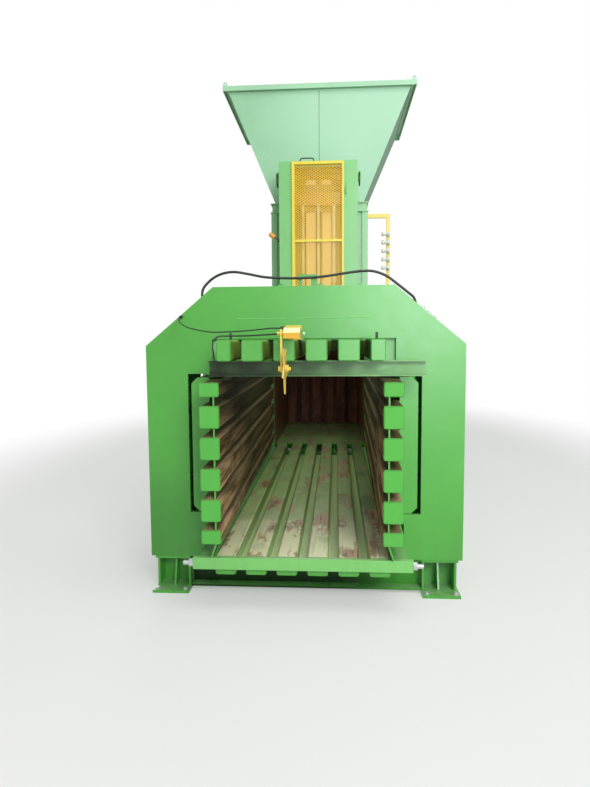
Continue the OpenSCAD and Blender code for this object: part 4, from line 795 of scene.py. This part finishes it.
def hinge_leaf(paint, fresh):
    """The hinge leaves beside the door's frame wear the posts' paint."""
    return paint.mix(paint.x > 0.317, fresh, PALE_GREEN)


door_yellow = machine_paint("door_yellow_paint", rgb(250, 224, 54), dust=0.1, grime=0.1, wear_and_shading=hinge_leaf)
coat(door_yellow, "guard_door_frame")
mesh_yellow = machine_paint("mesh_yellow_paint", rgb(255, 206, 20), dust=0.0, grime=0.1)
coat(mesh_yellow, "guard_door_mesh")

# Each strand of the expanded metal zigzags, and the strand above it is the same one turned over.
# The two kinds lie a little apart in depth, so that no faces fall together where they cross.
DIAMONDS, DIAMOND_HEIGHT, STRAND_WIDTH, STRAND_THICKNESS, APART = 13, 0.029, 0.0094, 0.0024, 0.0004
low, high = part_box("guard_door_mesh")
mesh_height = high.z - low.z - STRAND_WIDTH
pairs = round(mesh_height / DIAMOND_HEIGHT)
metal = Growth("expanded_metal", Points_per_strand=DIAMONDS * 2 + 1,
               Half_diamond=(high.x - low.x) / DIAMONDS / 2, Rise=mesh_height / pairs / 2,
               Strand_width=STRAND_WIDTH, Strand_thickness=STRAND_THICKNESS, Pairs_of_strands=pairs)
number = metal.node("GeometryNodeInputIndex")
along = metal.math("MULTIPLY", number, metal.given["Half diamond"])
up = metal.math("MULTIPLY", metal.math("MODULO", number, 2.0), metal.given["Rise"])
points = metal.node("GeometryNodeMeshLine", {"mode": "OFFSET"}, Count=metal.given["Points per strand"])
zigzag = metal.node("GeometryNodeSetPosition", Geometry=points, Position=metal.vector(along, 0.0, up))
middle = metal.node("GeometryNodeMeshToCurve", Mesh=zigzag)
section = metal.node("GeometryNodeCurvePrimitiveQuadrilateral", Width=metal.given["Strand thickness"],
                     Height=metal.given["Strand width"])
strand = metal.node("GeometryNodeCurveToMesh", Curve=middle, Profile_Curve=section)
pair_height = metal.math("MULTIPLY", metal.given["Rise"], 2.0)
stack = metal.node("GeometryNodeMeshLine", {"mode": "OFFSET"}, Count=metal.given["Pairs of strands"],
                   Offset=metal.vector(0.0, 0.0, pair_height))
turned = metal.node("GeometryNodeTransform", Geometry=strand, Rotation=(math.pi, 0, 0),
                    Translation=metal.vector(0.0, APART, pair_height))
both = metal.joined(*[metal.node("GeometryNodeInstanceOnPoints", Points=stack, Instance=one)
                      for one in (strand, turned)])
placed = metal.node("GeometryNodeTransform", Geometry=both,
                    Translation=(low.x, (low.y + high.y) / 2, low.z + STRAND_WIDTH / 2))
guard = metal.grown(placed, bpy.data.meshes.new("expanded_metal"), mesh_yellow)
ride(guard, "guard_door")
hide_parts("guard_door_mesh")


def latch_tones(paint, fresh):
    """The lever's boss and stem are dark steel, only its grip is orange."""
    from_pivot = (paint.x - LATCH_X) * -math.sin(LATCH_LEAN)
    along = from_pivot + (paint.z - FLOOR - LATCH_UP) * math.cos(LATCH_LEAN)
    return paint.mix(along > GRIP_FROM, rgb(50, 52, 48), fresh)


coat(machine_paint("latch_paint", rgb(240, 164, 58), dust=0.1, grime=0.1, wear_and_shading=latch_tones), "door_latch")

# Lifting shackles
# A shackle of round bar hangs on its pin in the lug on each side of the tower, for lifting it.
# It is forged iron, dark, with what is left of a green paint.
BAR, PIN_HALF, BOW_RADIUS, BOW_DROP = 0.0095, 0.046, 0.044, 0.098
LUG_X, LUG_BEHIND, LUG_UP = 0.509, 4.062, 3.410


def round_bar(name, line, radius, material, sides=10):
    """A round bar bent along a line."""
    made = shape(name, [], [], material)
    work = bmesh.new()
    loops = []
    for i, p in enumerate(line):
        ahead = (line[min(i + 1, len(line) - 1)] - line[max(i - 1, 0)]).normalized()
        across = ahead.cross(Vector((0.92, 0.13, 0.21))).normalized()
        over = ahead.cross(across)
        loops.append([work.verts.new(p + radius * (math.cos(a) * across + math.sin(a) * over))
                      for a in (2 * math.pi * k / sides for k in range(sides))])
    for a, b in zip(loops, loops[1:]):
        for k in range(sides):
            work.faces.new((a[k], a[(k + 1) % sides], b[(k + 1) % sides], b[k]))
    work.faces.new(loops[0])
    work.faces.new(loops[-1][::-1])
    bmesh.ops.recalc_face_normals(work, faces=work.faces[:])
    work.to_mesh(made.data)
    work.free()
    made.data.shade_smooth()
    return made


shackle_iron = plain_steel("shackle_iron", rgb(52, 74, 54), 0.5, 0.4, rgb(70, 60, 44), metal=0.2)
for side, sign in (("left", -1), ("right", 1)):
    hole = at(sign * LUG_X, LUG_BEHIND, LUG_UP)
    bow = [hole + Vector((0, BOW_RADIUS * math.cos(a), BOW_RADIUS * math.sin(a) - BOW_DROP))
           for a in [math.radians(55 - 290 * k / 16) for k in range(17)]]
    bow = [hole + Vector((0, 0.026, 0.006)), *bow, hole + Vector((0, -0.026, 0.006))]
    pin = [hole + Vector((0, y, 0)) for y in (-PIN_HALF, PIN_HALF)]
    ride(round_bar(side + "_shackle_bow", bow, BAR, shackle_iron), "frame")
    ride(round_bar(side + "_shackle_pin", pin, BAR, shackle_iron), "frame")

# Press chamber and ram
# Thick welded plates with ribs outside, worn brown inside, and a knife of bare steel under the
# shear beam. The ram is a welded box. Its head plate is grooved for the needles and dark with
# red-brown rust, and a cross beam at the rear holds its cylinder.


def chamber_inside(paint, fresh):
    """The bales have rubbed the inner sides to brown steel."""
    streaks = paint.noise(6.0, 5.0, 0.62, (1.0, 1.4, 0.35))
    steel = paint.mix(streaks.rise(0.32, 0.68), rgb(84, 52, 40), rgb(150, 98, 74))
    inner = (abs(paint.x) < CHAMBER_CLEAR / 2 + 0.0015) * (paint.y > OUTLET + 3.9)
    return paint.mix(inner * 0.96, fresh, steel)


coat(machine_paint("chamber_paint", GREEN, wear_and_shading=chamber_inside), "chamber_walls")


def knife_edge(paint, fresh):
    """The knife is bare steel under the painted beam."""
    return paint.mix(paint.z < FLOOR + CLEAR_HEIGHT - 0.0005, fresh, rgb(120, 112, 98))


coat(machine_paint("shear_beam_paint", GREEN, wear_and_shading=knife_edge), "shear_beam")
coat(green, "ram_body", "rear_frame")
rust = Finish("ram_rust")
streaks = rust.noise(5.0, 5.0, 0.62, (1.8, 1.0, 0.3))
fine = rust.noise(40.0, 4.0, 0.6, (1.0, 1.0, 0.3))
face = rust.mix(streaks.rise(0.35, 0.7), rgb(104, 54, 44), rgb(164, 100, 80))
face = rust.mix(fine.rise(0.55, 0.7) * 0.4, face, rgb(176, 132, 108))
rust.relief(streaks + fine * 0.4, 0.002, 0.5)
coat(rust.done(Base_Color=face, Roughness=streaks * 0.2 + 0.62), "ram_head")

# Chute and hopper
# The chute is a welded box with corner posts and a flanged collar. On it stands the flared hopper,
# folded from 8 mm sheet: its front is two sheets that meet in a seam, its mouth has an angle rim.
# The hopper's green is paler than the frame's, painted haze where bright light glares over it.
HAZY_HOPPER_GREEN = rgb(168, 218, 178)
LAP_HALF, SEAM_HALF = 0.010, 0.0045
BELOW_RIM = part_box("hopper_rim")[0].z - 0.008


def hopper_seam_and_light(paint, fresh):
    """The front is painted paler towards the right, a painted haze of light, with a lapped seam in its
    middle. The side panels are painted dark olive, a painted shade.
    """
    front = (paint.out_y < -0.8) * (paint.z < BELOW_RIM)
    fresh = paint.mix(paint.x.rise(-1.0, 0.5) * 0.8, fresh, rgb(194, 236, 208))
    lapped = paint.mix((abs(paint.x) < LAP_HALF) * front * 0.15, fresh, rgb(214, 240, 214))
    seam = paint.mix((abs(paint.x) < SEAM_HALF) * front * 0.8, lapped, rgb(84, 140, 96))
    sides = paint.mix((abs(paint.out_x) > 0.5) * 0.55, seam, rgb(72, 110, 40))
    return paint.mix(paint.out_y < -0.3, sides, tower_inside(paint, sides))


hopper_paint = machine_paint("hopper_paint", HAZY_HOPPER_GREEN, dust=0.2, gloss=0.5, shine=0.1, wear_and_shading=hopper_seam_and_light)
coat(hopper_paint, "hopper_panels")
coat(machine_paint("hopper_rim_paint", HAZY_HOPPER_GREEN), "hopper_rim")
coat(machine_paint("chute_paint", rgb(140, 200, 140), wear_and_shading=tower_inside), "chute_box")

# The bolts of the collar stand in rows under its flange.
low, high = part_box("chute_box")
FROM_EDGE, FLANGE = 0.011, 0.014
FIRST_X, STEP_X, FIRST_Y, STEP_Y = -0.56, 0.14, low.y + 0.081, 0.151
under = high.z - FLANGE
collar = []
for i in range(9):
    x = FIRST_X + STEP_X * i
    collar += [Vector((x, y, under)) for y in (low.y + FROM_EDGE, high.y - FROM_EDGE)]
for i in range(11):
    y = FIRST_Y + STEP_Y * i
    collar += [Vector((x, y, under)) for x in (low.x + FROM_EDGE, high.x - FROM_EDGE)]
bolts("collar_bolts", collar, (math.pi, 0, 0), 0.008, zinc)

# Wire guide
# A yellow tube stand at the right of the chute. Its five white nylon spools lead the tying wires
# from their coils to the needles.
coat(yellow, "wire_guide_frame")
nylon = Finish("white_nylon")
scuff = nylon.noise(30.0, 4.0)
nylon.relief(scuff, 0.0004, 0.3)
coat(nylon.done(Base_Color=nylon.mix(scuff.rise(0.5, 0.8), rgb(240, 240, 234), rgb(206, 204, 192)),
                Roughness=scuff * 0.2 + 0.4), *["wire_roller_%d" % i for i in range(1, 6)])
